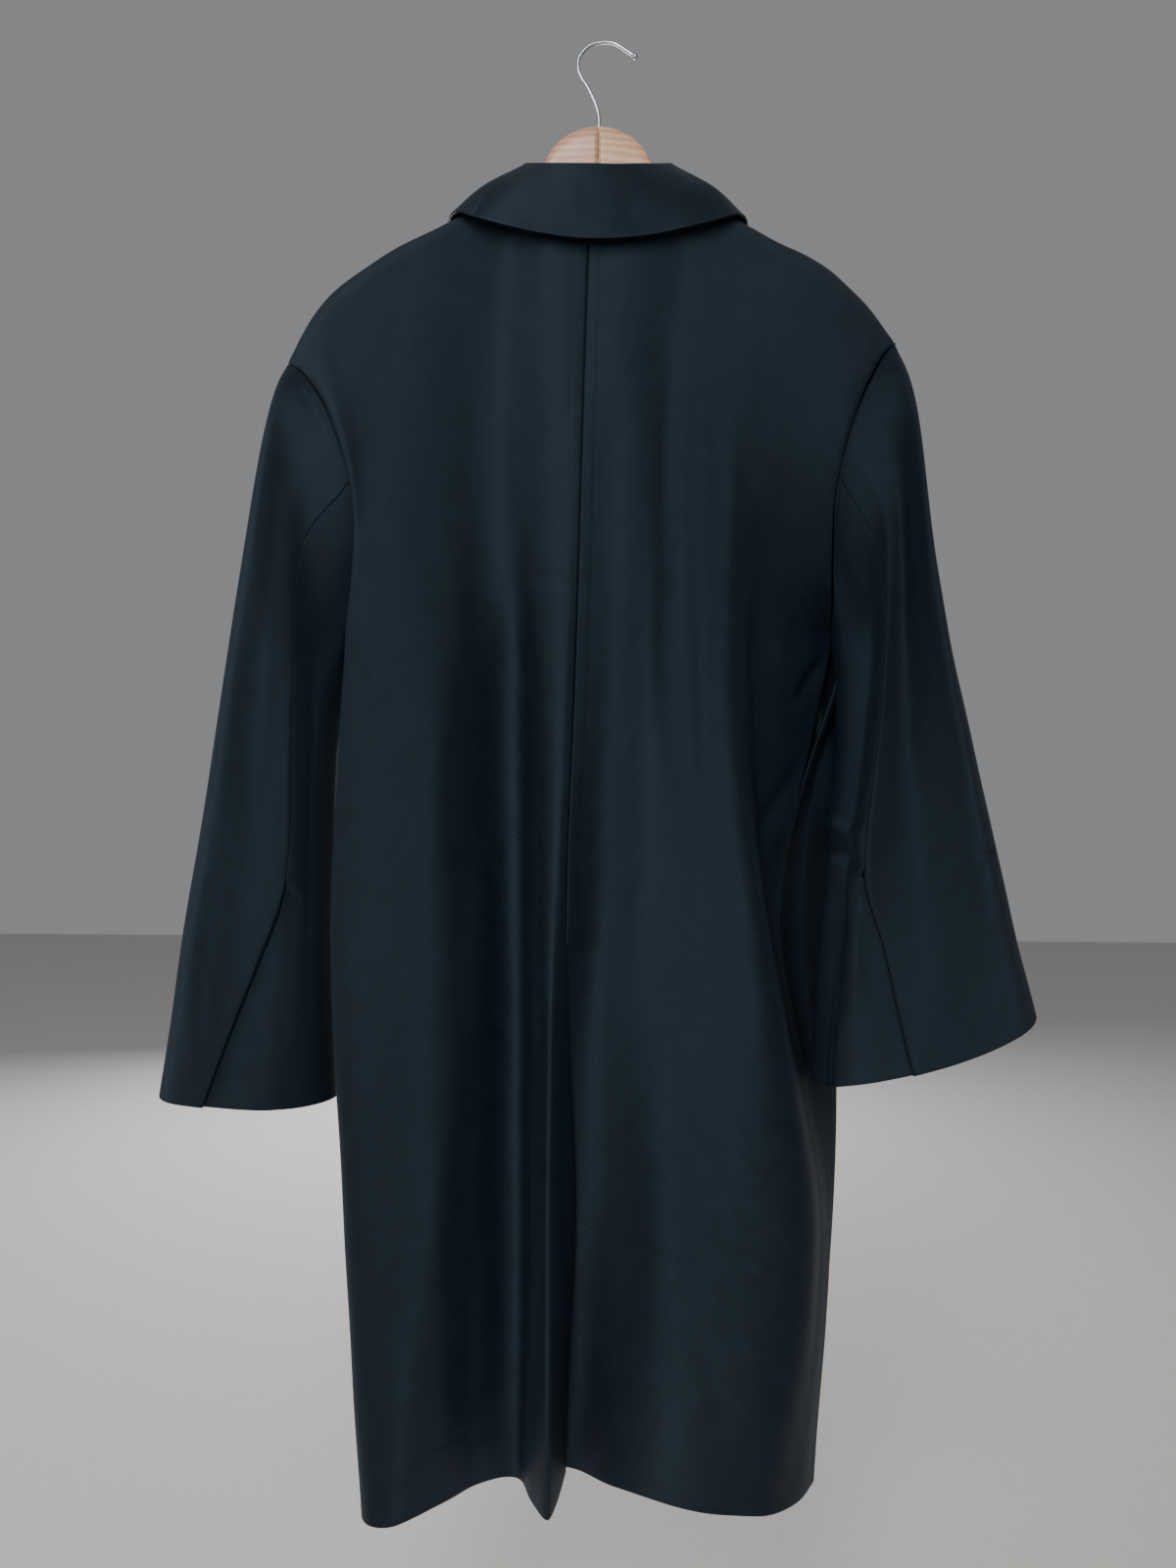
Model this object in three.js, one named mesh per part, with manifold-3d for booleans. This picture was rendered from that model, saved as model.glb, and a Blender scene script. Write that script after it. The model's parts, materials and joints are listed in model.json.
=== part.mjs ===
// A long overcoat hung on a wooden hanger: cloth walls, turned collar, two-piece
// sleeves, lapped back vent, plain lapelled front, wood hanger in halves and wire hook.
// Millimetres, +Z up. The coat's back looks to +Y, its front to -Y, wearer's left is +X.
// The origin is the underside of the hook's top, where a rod carries the whole.
import * as THREE from 'three';
import { mergeVertices } from 'three/addons/utils/BufferGeometryUtils.js';
import Module from 'manifold-3d';

const CLOTH = 2.0; // thickness of a cloth wall
const SEAM_GAP = 0.3; // pieces stand this far apart at a seam
const SHARED_FROM = 0.6; // two walls share a seam's normal if their own agree this far
const COAT_X = 5; // the coat's and the hanger's middle, sideways from the hook's seat
const SHOULDER_ROUND = 26; // drop over which the cloth rounds over the shoulder ridge
const NECK_X = 72; // half-width of the neck opening at the shoulder ridge
const NECK_Z = -146; // height of the shoulder ridge beside the neck

// Levels down the body: 0 the top edge, then the heights below.
const LEVEL_Z = [null, -350, -560, -830, -1070, -1312];
const UNDERARM = 2; // level of the bottom of the armhole
const ARMHOLE_REACH = 0.5; // how far in from the armhole the rows bend to meet it
const VENT_TOP = 3; // level where the centre back seam opens into the vent

// The top edge from the centre of the neck out along the shoulder; the armhole's top ends it.
const TOP_EDGE = [
  { x: 0, z: -168 }, { x: 20, z: -167 }, { x: 40, z: -161 }, { x: 58, z: -151 },
  { x: NECK_X, z: NECK_Z }, { x: 137, z: -182 }, { x: 183, z: -202 }, { x: 222, z: -225 },
  { x: 244, z: -236 }, { x: 256, z: -247 }, { x: 265, z: -262 },
];

// The armhole seam on the back, from the shoulder seam down to the underarm.
const ARMHOLE = {
  left: [
    { x: 288, y: 0, z: -303 }, { x: 286, y: 6, z: -304 }, { x: 270, y: 19, z: -316 },
    { x: 249, y: 34, z: -345 }, { x: 233, y: 45, z: -380 }, { x: 222, y: 50, z: -412 },
    { x: 216, y: 50, z: -446 }, { x: 215, y: 45, z: -480 }, { x: 217, y: 33, z: -515 },
    { x: 224, y: 0, z: -556 },
  ],
  right: [
    { x: 278, y: 0, z: -279 }, { x: 276, y: 6, z: -280.5 }, { x: 262, y: 18, z: -298 },
    { x: 240, y: 34, z: -342 }, { x: 226, y: 45, z: -378 }, { x: 218, y: 50, z: -409 },
    { x: 213, y: 50, z: -443 }, { x: 213, y: 45, z: -479 }, { x: 215, y: 34, z: -513 },
    { x: 221, y: 0, z: -556 },
  ],
};

// Lines that run down the body on each side, one row for each fold, edge or seam. "at" is the
// place across the panels: 0 centre back, 1 side seam, 2 front edge. x is measured outward
// from the coat's middle and y toward the back, both at each level in turn.
const BODY_LINES = {
  left: [
    { line: 'vent edge', at: 0, x: [7, 12, 16, 22, 14, 20], y: [62, 77, 82, 82, 62, 38] },
    { line: 'strip crest', at: 0.06, x: [22, 27, 31, 36, 35, 32], y: [62, 79, 86, 92, 99, 107] },
    { line: 'strip side', at: 0.14, x: [40, 50, 54, 54, 54, 51], y: [62, 73, 75, 77, 80, 80] },
    { line: 'trough', at: 0.22, x: [60, 68, 69, 68, 65, 64], y: [61, 59, 53, 51, 51, 49] },
    { line: 'slope', at: 0.4, x: [100, 104, 104, 104, 102, 98], y: [60, 65, 67, 68, 67, 58] },
    { line: 'ridge turn', at: 0.54, x: [140, 140, 138, 138, 134, 128], y: [57, 73, 86, 92, 96, 86] },
    { line: 'ridge', at: 0.68, x: [190, 168, 168, 170, 168, 166], y: [50, 74, 91, 98, 107, 118] },
    { line: 'ridge edge', at: 0.84, x: [242, 208, 216, 223, 211, 193], y: [40, 64, 82, 90, 94, 106] },
    { line: 'side seam', at: 1, x: [288, 236, 224, 222, 208, 190], y: [0, 30, 0, 22, 26, 44] },
    { line: 'front side', at: 1.16, x: [262, 198, 208, 210, 198, 182],
      y: [-43, -56, -44, -22, -16, -6] },
    { line: 'front corner', at: 1.4, x: [215, 180, 178, 184, 178, 168],
      y: [-52, -58, -62, -60, -58, -60] },
    { line: 'front fold', at: 1.66, x: [140, 116, 104, 112, 112, 114],
      y: [-54, -64, -70, -66, -60, -54] },
    { line: 'front swell', at: 1.86, x: [98, 58, 20, 24, 34, 44], y: [-52, -66, -72, -72, -74, -78] },
    { line: 'front edge', at: 2, x: [66, 18, -28, -28, -28, -28], y: [-46, -66, -71, -71, -70, -68] },
  ],
  right: [
    { line: 'underlap', at: 0, x: [-7, -12, -16, -22, -50, -54], y: [62, 77, 82, 82, 54, 28] },
    { line: 'beside vent', at: 0.12, x: [16, 12, 8, -2, -10, -14], y: [62, 77, 80, 72, 54, 33] },
    { line: 'trough side', at: 0.28, x: [56, 44, 34, 24, 22, 20], y: [61, 77, 79, 73, 66, 60] },
    { line: 'rise', at: 0.5, x: [100, 78, 76, 78, 80, 84], y: [60, 69, 77, 81, 86, 90] },
    { line: 'fold edge', at: 0.7, x: [150, 112, 112, 140, 174, 140], y: [56, 82, 94, 97, 97, 97] },
    { line: 'fold foot', at: 0.84, x: [222, 172, 156, 154, 198, 174], y: [42, 64, 54, 50, 62, 80] },
    { line: 'side seam', at: 1, x: [278, 236, 221, 172, 212, 199], y: [0, 30, 0, 18, 30, 44] },
    { line: 'valley', at: 1.12, x: [260, 196, 213, 200, 222, 204], y: [-42, -57, -29, -2, 10, 22] },
    { line: 'outer side', at: 1.28, x: [238, 180, 220, 234, 228, 198],
      y: [-47, -60, -47, -30, -12, -14] },
    { line: 'front corner', at: 1.45, x: [205, 170, 170, 206, 206, 182],
      y: [-52, -60, -62, -50, -50, -46] },
    { line: 'front fold', at: 1.68, x: [130, 104, 96, 116, 118, 112],
      y: [-52, -62, -66, -62, -58, -52] },
    { line: 'front swell', at: 1.86, x: [98, 58, 20, 28, 34, 36], y: [-50, -60, -61, -61, -61, -62] },
    { line: 'front edge', at: 2, x: [66, 18, -28, -28, -28, -28], y: [-44, -60, -61, -61, -60, -60] },
  ],
};

// Where the cloth is divided into cells across and down each body panel.
const BACK_CELLS = [0, 0.03, 0.06, 0.1, 0.14, 0.18, 0.22, 0.31, 0.4, 0.47, 0.54, 0.61, 0.68,
  0.76, 0.84, 0.92, 1];
const FRONT_CELLS = [1, 1.12, 1.2, 1.28, 1.36, 1.46, 1.56, 1.67, 1.86, 2];
const UPPER_ROWS = [0, 0.02, 0.07, 0.14, 0.38, 0.68, 1.02, 1.2, 1.4, 1.7, 2];
const LOWER_ROWS = [2.25, 2.5, 2.75, 3, 3.04, 3.16, 3.32, 3.6, 3.9, 4.2, 4.5, 4.76, 5];

// The right back goes under the left below the vent's top by this much, over these levels.
const TUCK = { depth: 2.7, over: 0.04, reach: 0.2 };

// Sections down a sleeve, one row for each: the outer, inner and rear ridge lines and the
// front's depth. "hollow" is the depth of the long trough beside the ridge, as a share of the
// ridge's own, and "sag" how far the section dips between its outer and inner lines.
const SLEEVE = {
  left: [
    { outX: 298, outZ: -338, inX: 232, inZ: -604, inY: 0, ridgeX: 267, ridgeY: 50,
      front: -48, hollow: 0.86, sag: 0 },
    { outX: 325, outZ: -485, inX: 238, inZ: -680, inY: 0, ridgeX: 268, ridgeY: 55,
      front: -46, hollow: 0.84, sag: 0 },
    { outX: 350.5, outZ: -655, inX: 240, inZ: -790, inY: 0, ridgeX: 270, ridgeY: 55,
      front: -46, hollow: 0.82, sag: 0 },
    { outX: 376, outZ: -820, inX: 237, inZ: -888, inY: 2, ridgeX: 276, ridgeY: 53,
      front: -44, hollow: 0.84, sag: 0 },
    { outX: 399, outZ: -981, inX: 236, inZ: -981, inY: 4, ridgeX: 290, ridgeY: 48,
      front: -40, hollow: 0.9, sag: 4 },
  ],
  right: [
    { outX: 291, outZ: -326, inX: 224, inZ: -596, inY: 8, ridgeX: 256, ridgeY: 54,
      front: -46, hollow: 0.72, sag: 0 },
    { outX: 314, outZ: -486, inX: 221, inZ: -672, inY: 18, ridgeX: 253, ridgeY: 63,
      front: -34, hollow: 0.6, sag: 0 },
    { outX: 350, outZ: -655, inX: 211, inZ: -762, inY: 26, ridgeX: 239, ridgeY: 67,
      front: -22, hollow: 0.6, sag: 0 },
    { outX: 384, outZ: -795, inX: 205, inZ: -850, inY: 26, ridgeX: 230, ridgeY: 66,
      front: -16, hollow: 0.66, sag: 0 },
    { outX: 412, outZ: -902, inX: 201, inZ: -957, inY: 24, ridgeX: 226, ridgeY: 60,
      front: -16, hollow: 0.8, sag: 15 },
  ],
};
// Lines round a sleeve section. "turn" is the share of the way round from the outer line, over
// the back, to it again. Between the outer line and the ridge, and between the ridge and the
// inner line, "across" is the share of the way over and "deep" the share of the depth.
const SLEEVE_ROUND = {
  outer: { turn: 0, deep: 0.1 },
  facet: { turn: 0.06, across: 0.14, deep: 0.68 },
  hollow: { turn: 0.13, across: 0.56 },
  ridge: { turn: 0.2 },
  underBack: { turn: 0.34, across: 0.7, deep: 0.78 },
  inner: { turn: 0.5 },
  underFront: { turn: 0.62, across: 0.16, deep: 0.82 },
  front: { turn: 0.78, across: 0.5 },
  outerFront: { turn: 0.93, across: 0.88, deep: 0.7 },
};
const BACK_SEAM_START = 6; // armhole row where the sleeve's back seam begins
const FRONT_SEAM_START = 15; // armhole row, counted round, where its front seam begins
// The sleeve's back seam: its turn at each section, and the section where the cuff vent opens.
const BACK_SEAM = {
  left: { turn: [0.255, 0.225, 0.2, 0.2, 0.158, 0.113], ventTop: 3.2 },
  right: { turn: [0.255, 0.225, 0.2, 0.2, 0.166, 0.146], ventTop: 3.2 },
};
const SLEEVE_ROWS = [0, 0.3, 0.65, 1, 1.4, 1.8, 2.2, 2.7, 3.2, 3.28, 3.6, 4, 4.33, 4.67, 5];
// At the cuff vent the under sleeve goes under the upper by this depth and lap.
const CUFF_TUCK = { depth: 3.8, over: 0.08, lap: 0.026, lapOver: 0.3, reach: 0.1 };

// Collar sections from the centre back round to the front end: the neck seam's x and whether it
// lies on the back (1) or the front (-1), then the top of the fold and the free edge of the
// fall. "at" is the share of the way round; the fall bows out and settles down halfway.
const COLLAR = [
  { at: 0, neckX: 0, neckSide: 1, foldX: 0, foldY: 57, foldZ: -141,
    edgeX: 0, edgeY: 80, edgeZ: -217, bow: 3, settle: 0 },
  { at: 0.22, neckX: 32, neckSide: 1, foldX: 30, foldY: 52, foldZ: -138.5,
    edgeX: 42, edgeY: 78, edgeZ: -213, bow: 5, settle: 0 },
  { at: 0.42, neckX: 58, neckSide: 1, foldX: 54, foldY: 34, foldZ: -129,
    edgeX: 84, edgeY: 78, edgeZ: -204, bow: 9, settle: 0 },
  { at: 0.56, neckX: 69, neckSide: 1, foldX: 65, foldY: 14, foldZ: -118.5,
    edgeX: 113, edgeY: 73, edgeZ: -194, bow: 9, settle: 0 },
  { at: 0.62, neckX: 71, neckSide: 1, foldX: 67.5, foldY: 5, foldZ: -114,
    edgeX: 124, edgeY: 61, edgeZ: -186, bow: 8, settle: 1 },
  { at: 0.65, neckX: 71.5, neckSide: 0.5, foldX: 68.2, foldY: 0, foldZ: -112,
    edgeX: 134, edgeY: 36, edgeZ: -178, bow: 5, settle: 0 },
  { at: 0.68, neckX: 71.5, neckSide: 0, foldX: 68.5, foldY: -4, foldZ: -110,
    edgeX: 139, edgeY: 4, edgeZ: -175.5, bow: 3, settle: 0 },
  { at: 0.84, neckX: 69, neckSide: -1, foldX: 64, foldY: -28, foldZ: -117,
    edgeX: 138, edgeY: -56, edgeZ: -188, bow: 6, settle: 0 },
  { at: 1, neckX: 65, neckSide: -1, foldX: 57, foldY: -50, foldZ: -140,
    edgeX: 126, edgeY: -70, edgeZ: -209, bow: 5, settle: 0 },
];
const COLLAR_LIFT = 1.1; // the stand's foot above the neck edge
const FOLD_ROUND = 4.5; // half the thickness of the collar's turned fold
const COLLAR_CELLS = 22; // cells round the whole collar
const COLLAR_DOWN = [0, 0.12, 0.2, 0.25, 0.3, 0.36, 0.52, 0.76, 1];
// Places down the collar: neck seam, in and out of the fold, middle of the fall, free edge.
const COLLAR_KNOTS = [0, 0.2, 0.25, 0.3, 0.62, 1];
const FOLD_IN = 0.3; // the fold's inner and outer sides, in shares of FOLD_ROUND
const FOLD_OUT = 1.3;
const NECK_DEPTH = 61; // outer face of the cloth at the neck, front and back
const NECK_IN = 1; // the collar's foot stands this far inside the neck edge

// The turned-back lapel: width across the front panel (in "at") at each level of its length.
const LAPEL = [
  { level: 0.13, width: 0.34 }, { level: 0.5, width: 0.35 }, { level: 0.9, width: 0.3 },
  { level: 1.3, width: 0.18 }, { level: 1.72, width: 0.03 },
];
const LAPEL_CELLS = 5;
const LAPEL_ROWS = [0.13, 0.35, 0.6, 0.9, 1.2, 1.5, 1.72];
const LAPEL_RAISE = 0.9; // space between the lapel and the front under it
const LAPEL_IN = 0.004; // the lapel's fold stands this far, in "at", inside the front edge

const BUTTON = { radius: 14, thick: 4, bevel: 0.8, rimWidth: 3, dish: 1.2, holeRadius: 1.5,
  holeSpacing: 5, sides: 16, levels: [1.86, 2.5, 3.15], fromEdge: 0.055, lift: 0.25 };
// Steps, in "at" and in level, of the points where a button's seat is felt out.
const SEAT_STEPS = { count: 4, at: 0.014, level: 0.0135 };

// The hanger's wood, half of it, in sections from the middle joint out to the arm's end.
const HANGER = [
  { x: 0.15, top: -78, bottom: -166, half: 10 }, { x: 16, top: -80.6, bottom: -166, half: 10 },
  { x: 31, top: -88, bottom: -167, half: 10 }, { x: 42, top: -98.5, bottom: -169, half: 10.5 },
  { x: 49, top: -111, bottom: -171, half: 11 }, { x: 54, top: -128, bottom: -173, half: 11.5 },
  { x: 59, top: -147, bottom: -176, half: 12 }, { x: 74, top: -152.7, bottom: -184, half: 12.5 },
  { x: 110, top: -171.2, bottom: -203, half: 14 }, { x: 150, top: -192.2, bottom: -223, half: 16 },
  { x: 190, top: -210.2, bottom: -241, half: 18 }, { x: 218, top: -229, bottom: -255, half: 18 },
  { x: 232, top: -238, bottom: -261, half: 15 }, { x: 238, top: -245, bottom: -258, half: 9 },
];
const HANGER_SIDES = 12;
const HANGER_SQUARE = 0.62; // power that makes a round section squarer

const HOOK = { radius: 1.6, boreRadius: 1.9, boreLength: 80, stemFoot: -108, knobRadius: 2.6 };
// The hook's wire from its foot in the wood up and round to its tip.
const HOOK_WIRE = [
  { x: 5, z: HOOK.stemFoot }, { x: 5, z: -84 }, { x: 5.6, z: -64 }, { x: 13.4, z: -44.5 },
  { x: 23, z: -28 }, { x: 24.4, z: -15 }, { x: 14.6, z: -2.2 }, { x: 1, z: 1.6 },
  { x: -9.5, z: 0.4 }, { x: -19.5, z: -5.6 }, { x: -28.5, z: -11.4 },
];
const HOOK_CELLS = 30;

// ---------------------------------------------------------------- curves

// The smooth curve through the values at rising knots; with a period it closes on itself.
function through(knots, values, t, period = 0) {
  const n = knots.length;
  const knot = (i) => (period ? knots[((i % n) + n) % n] + period * Math.floor(i / n)
    : knots[Math.min(n - 1, Math.max(0, i))]);
  const value = (i) => (period ? values[((i % n) + n) % n]
    : values[Math.min(n - 1, Math.max(0, i))]);
  let i = period ? -1 : 0;
  const last = period ? n : n - 2;
  while (i < last && t > knot(i + 1)) i += 1;
  const span = knot(i + 1) - knot(i);
  const slope = (j) => (value(j + 1) - value(j - 1)) / (knot(j + 1) - knot(j - 1));
  const f = (t - knot(i)) / span;
  const f2 = f * f;
  const f3 = f2 * f;
  return (2 * f3 - 3 * f2 + 1) * value(i) + (f3 - 2 * f2 + f) * span * slope(i)
    + (3 * f2 - 2 * f3) * value(i + 1) + (f3 - f2) * span * slope(i + 1);
}

const mix = (a, b, f) => a + (b - a) * f;

function ease(f) {
  const c = Math.min(1, Math.max(0, f));
  return c * c * (3 - 2 * c);
}

const LEVELS = LEVEL_Z.map((z, i) => i);

// ---------------------------------------------------------------- body

function topEdgeZ(side, x) {
  const end = ARMHOLE[side][0];
  const rows = [...TOP_EDGE, end];
  return through(rows.map((r) => r.x), rows.map((r) => r.z), Math.min(end.x, Math.abs(x)));
}

function ridgeZ(side, x) {
  return Math.abs(x) < NECK_X ? NECK_Z : Math.min(NECK_Z, topEdgeZ(side, x));
}

// Share of full depth at a drop below the shoulder ridge: a quarter turn, then full.
function rounding(drop) {
  const c = Math.max(0, 1 - Math.max(0, drop) / SHOULDER_ROUND);
  return Math.sqrt(Math.max(0, 1 - c * c));
}

// A point of the armhole, a full turn from the shoulder seam over the back and up the front.
function armholePoint(side, turn) {
  const rows = ARMHOLE[side];
  const lengths = [0];
  for (let i = 1; i < rows.length; i += 1) {
    const a = rows[i - 1];
    const b = rows[i];
    lengths.push(lengths[i - 1] + Math.hypot(b.x - a.x, b.y - a.y, b.z - a.z));
  }
  const whole = ((turn % 1) + 1) % 1;
  const back = whole <= 0.5;
  const along = (back ? whole : 1 - whole) * 2 * lengths[lengths.length - 1];
  const value = (key) => through(lengths, rows.map((r) => r[key]), along);
  return new THREE.Vector3(value('x'), value('y') * (back ? 1 : -1), value('z'));
}

// The armhole's edge on the back (at up to 1) or the front, at a level above the underarm.
function armholeEdge(side, at, level) {
  return armholePoint(side, (at <= 1 ? 1 : -1) * level / UNDERARM / 2);
}

// A point of the body's outer face, x outward on its own side.
function bodyPoint(side, at, level) {
  const lines = BODY_LINES[side];
  const knots = lines.map((l) => l.at);
  const xs = lines.map((l) => through(LEVELS, l.x, level));
  const depths = lines.map((l) => through(LEVELS, l.y, level));
  if (side === 'right' && level <= VENT_TOP) {
    const centre = BODY_LINES.left[0]; // above the vent both backs follow one centre line
    xs[0] = -through(LEVELS, centre.x, level);
    depths[0] = through(LEVELS, centre.y, level);
  }
  const edge = level < UNDERARM ? armholeEdge(side, at, level) : null;
  if (edge) {
    const seam = lines.findIndex((l) => l.at === 1);
    xs[seam] = edge.x;
    depths[seam] = edge.y;
  }
  const x = through(knots, xs, at);
  const depth = through(knots, depths, at);
  if (!edge) return new THREE.Vector3(x, depth, mixLevels(level));
  const height = (out) => mix(topEdgeZ(side, out), LEVEL_Z[UNDERARM], level / UNDERARM);
  const z = height(x);
  const pull = ease(1 - Math.abs(at - 1) / ARMHOLE_REACH);
  const edgeDepth = edge.y * rounding(ridgeZ(side, edge.x) - height(edge.x));
  return new THREE.Vector3(x, depth * rounding(ridgeZ(side, x) - z) + pull * (edge.y - edgeDepth),
    z + pull * (edge.z - height(edge.x)));
}

function mixLevels(level) {
  const i = Math.min(LEVEL_Z.length - 2, Math.floor(level));
  return mix(LEVEL_Z[i], LEVEL_Z[i + 1], level - i);
}

// How far the right back is set in under the left back's edge at the vent.
function ventTuck(at, level) {
  return TUCK.depth * ease((level - VENT_TOP) / TUCK.over) * ease(1 - at / TUCK.reach);
}

// ---------------------------------------------------------------- sleeves

function sleeveRing(side, section, turn) {
  if (section === 0) return armholePoint(side, turn);
  const s = SLEEVE[side][section - 1];
  const wide = s.outX - s.inX;
  const r = SLEEVE_ROUND;
  const places = {
    outer: [s.outX, r.outer.deep * s.ridgeY],
    facet: [mix(s.outX, s.ridgeX, r.facet.across), r.facet.deep * s.ridgeY],
    hollow: [mix(s.outX, s.ridgeX, r.hollow.across), s.hollow * s.ridgeY],
    ridge: [s.ridgeX, s.ridgeY],
    underBack: [mix(s.ridgeX, s.inX, r.underBack.across),
      mix(s.inY, s.ridgeY, r.underBack.deep)],
    inner: [s.inX, s.inY],
    underFront: [s.inX + r.underFront.across * wide, mix(s.inY, s.front, r.underFront.deep)],
    front: [s.inX + r.front.across * wide, s.front],
    outerFront: [s.inX + r.outerFront.across * wide, r.outerFront.deep * s.front],
  };
  const names = Object.keys(r);
  const knots = names.map((n) => r[n].turn);
  const whole = ((turn % 1) + 1) % 1;
  const x = through(knots, names.map((n) => places[n][0]), whole, 1);
  const y = through(knots, names.map((n) => places[n][1]), whole, 1);
  const share = (s.outX - x) / wide;
  return new THREE.Vector3(x, y, mix(s.outZ, s.inZ, share) - s.sag * Math.sin(Math.PI * share));
}

function sleevePoint(side, turn, section) {
  const count = SLEEVE[side].length + 1;
  const knots = Array.from({ length: count }, (_, i) => i);
  const rings = knots.map((k) => sleeveRing(side, k, turn));
  const value = (key) => through(knots, rings.map((r) => r[key]), section);
  return new THREE.Vector3(value('x'), value('y'), value('z'));
}

// ---------------------------------------------------------------- walls

// A unit normal of a surface at (a, b), by small steps kept inside the given ranges.
function normalOf(surface, a, b, ra, rb) {
  const step = 1e-4;
  const a0 = Math.max(ra[0], a - step);
  const a1 = Math.min(ra[1], a + step);
  const b0 = Math.max(rb[0], b - step);
  const b1 = Math.min(rb[1], b + step);
  const da = surface(a1, b).sub(surface(a0, b));
  const db = surface(a, b1).sub(surface(a, b0));
  return da.cross(db).normalize();
}

// A closed wall from a grid of outer points and outward normals, both [row][column].
function wallGeometry(points, normals, thickness) {
  const rows = points.length;
  const cols = points[0].length;
  const outer = points.flat();
  const inner = [];
  points.forEach((row, j) => row.forEach((p, i) => {
    inner.push(p.clone().addScaledVector(normals[j][i], -thickness));
  }));
  const all = [...outer, ...inner];
  const size = rows * cols;
  const index = [];
  const quad = (a, b, c, d) => index.push(a, b, c, a, c, d);
  const midJ = Math.floor(rows / 2);
  const midI = Math.floor(cols / 2);
  const p0 = points[midJ][midI];
  const across = points[midJ][midI - 1].clone().sub(p0).negate();
  const down = points[midJ - 1][midI].clone().sub(p0).negate();
  const direct = across.cross(down).dot(normals[midJ][midI]) > 0;
  const at = (j, i) => j * cols + i;
  const face = (a, b, c, d) => (direct ? quad(a, b, c, d) : quad(d, c, b, a));
  for (let j = 0; j < rows - 1; j += 1) {
    for (let i = 0; i < cols - 1; i += 1) {
      const [a, b, c, d] = [at(j, i), at(j, i + 1), at(j + 1, i + 1), at(j + 1, i)];
      face(a, b, c, d);
      face(d + size, c + size, b + size, a + size);
    }
  }
  for (let i = 0; i < cols - 1; i += 1) {
    face(at(0, i + 1), at(0, i), at(0, i) + size, at(0, i + 1) + size);
    const [e, f] = [at(rows - 1, i), at(rows - 1, i + 1)];
    face(e, f, f + size, e + size);
  }
  for (let j = 0; j < rows - 1; j += 1) {
    face(at(j, 0), at(j + 1, 0), at(j + 1, 0) + size, at(j, 0) + size);
    const [e, f] = [at(j, cols - 1), at(j + 1, cols - 1)];
    face(f, e, e + size, f + size);
  }
  const geometry = new THREE.BufferGeometry();
  const flat = all.flatMap((p) => [p.x, p.y, p.z]);
  geometry.setAttribute('position', new THREE.Float32BufferAttribute(flat, 3));
  geometry.setIndex(index);
  geometry.computeVertexNormals();
  return geometry;
}

// Draws a seam edge of a grid back into its own panel by half the seam gap.
function drawBack(points, normals, edge) {
  const rows = points.length;
  const cols = points[0].length;
  const along = edge === 'first row' || edge === 'last row' ? cols : rows;
  const pick = (k, inward) => {
    if (edge === 'first row') return [inward, k];
    if (edge === 'last row') return [rows - 1 - inward, k];
    if (edge === 'first column') return [k, inward];
    return [k, cols - 1 - inward];
  };
  const get = (grid, [j, i]) => grid[j][i];
  const moves = [];
  for (let k = 0; k < along; k += 1) {
    const before = get(points, pick(Math.max(0, k - 1), 0));
    const after = get(points, pick(Math.min(along - 1, k + 1), 0));
    const here = get(points, pick(k, 0));
    const inside = get(points, pick(k, 1)).clone().sub(here);
    const away = after.clone().sub(before).cross(get(normals, pick(k, 0))).normalize();
    if (away.dot(inside) < 0) away.negate();
    moves.push(away.multiplyScalar(SEAM_GAP / 2));
  }
  moves.forEach((move, k) => get(points, pick(k, 0)).add(move));
}

function placed(point, side) {
  const sign = side === 'left' ? 1 : -1;
  return new THREE.Vector3(COAT_X + sign * point.x, point.y, point.z);
}

// A panel: a wall on a surface over the given cells, with seam edges and shared seam normals.
function panel(surface, columns, rowList, options) {
  const { side, seams = [], outward, shared = {}, warp, sink } = options;
  const ra = [Math.min(...columns), Math.max(...columns)];
  const rb = [rowList[0], rowList[rowList.length - 1]];
  const sign = side === 'left' ? 1 : -1;
  const points = [];
  const normals = [];
  rowList.forEach((b, j) => {
    points.push([]);
    normals.push([]);
    columns.forEach((c, i) => {
      const a = warp ? warp(c, b) : c;
      const range = warp ? [-1, 2] : ra;
      let n = normalOf(surface, a, b, range, rb).multiplyScalar(outward);
      if (shared[`row${j}`]) n = shared[`row${j}`](a, b, n);
      if (shared[`column${i}`]) n = shared[`column${i}`](a, b, n);
      const point = surface(a, b);
      if (sink) point.addScaledVector(n, -sink(a, b));
      n.x *= sign;
      points[j].push(placed(point, side));
      normals[j].push(n);
    });
  });
  seams.forEach((edge) => drawBack(points, normals, edge));
  return wallGeometry(points, normals, CLOTH);
}

// ---------------------------------------------------------------- seam normals

const UPRIGHT_TURN = 0.06; // at the armhole's top the walls lean neither forward nor back
const FRONT_START = 1 + 1e-9; // the front panel's side edge, told apart from the back's
const LAST_LEVEL = LEVEL_Z.length - 1;

function bodyNormal(side, at, level) {
  const surface = (a, b) => bodyPoint(side, a, b);
  const range = at <= 1 ? [0, 1] : [FRONT_START, 2];
  const band = level <= UNDERARM ? [0, UNDERARM] : [UNDERARM, LAST_LEVEL];
  return normalOf(surface, at, level, level < UNDERARM ? range : [0, 2], band);
}

function sleeveNormal(side, turn, section) {
  const surface = (a, b) => sleevePoint(side, a, b);
  return normalOf(surface, turn, section, [-2, 2], [0, SLEEVE[side].length]).negate();
}

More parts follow.
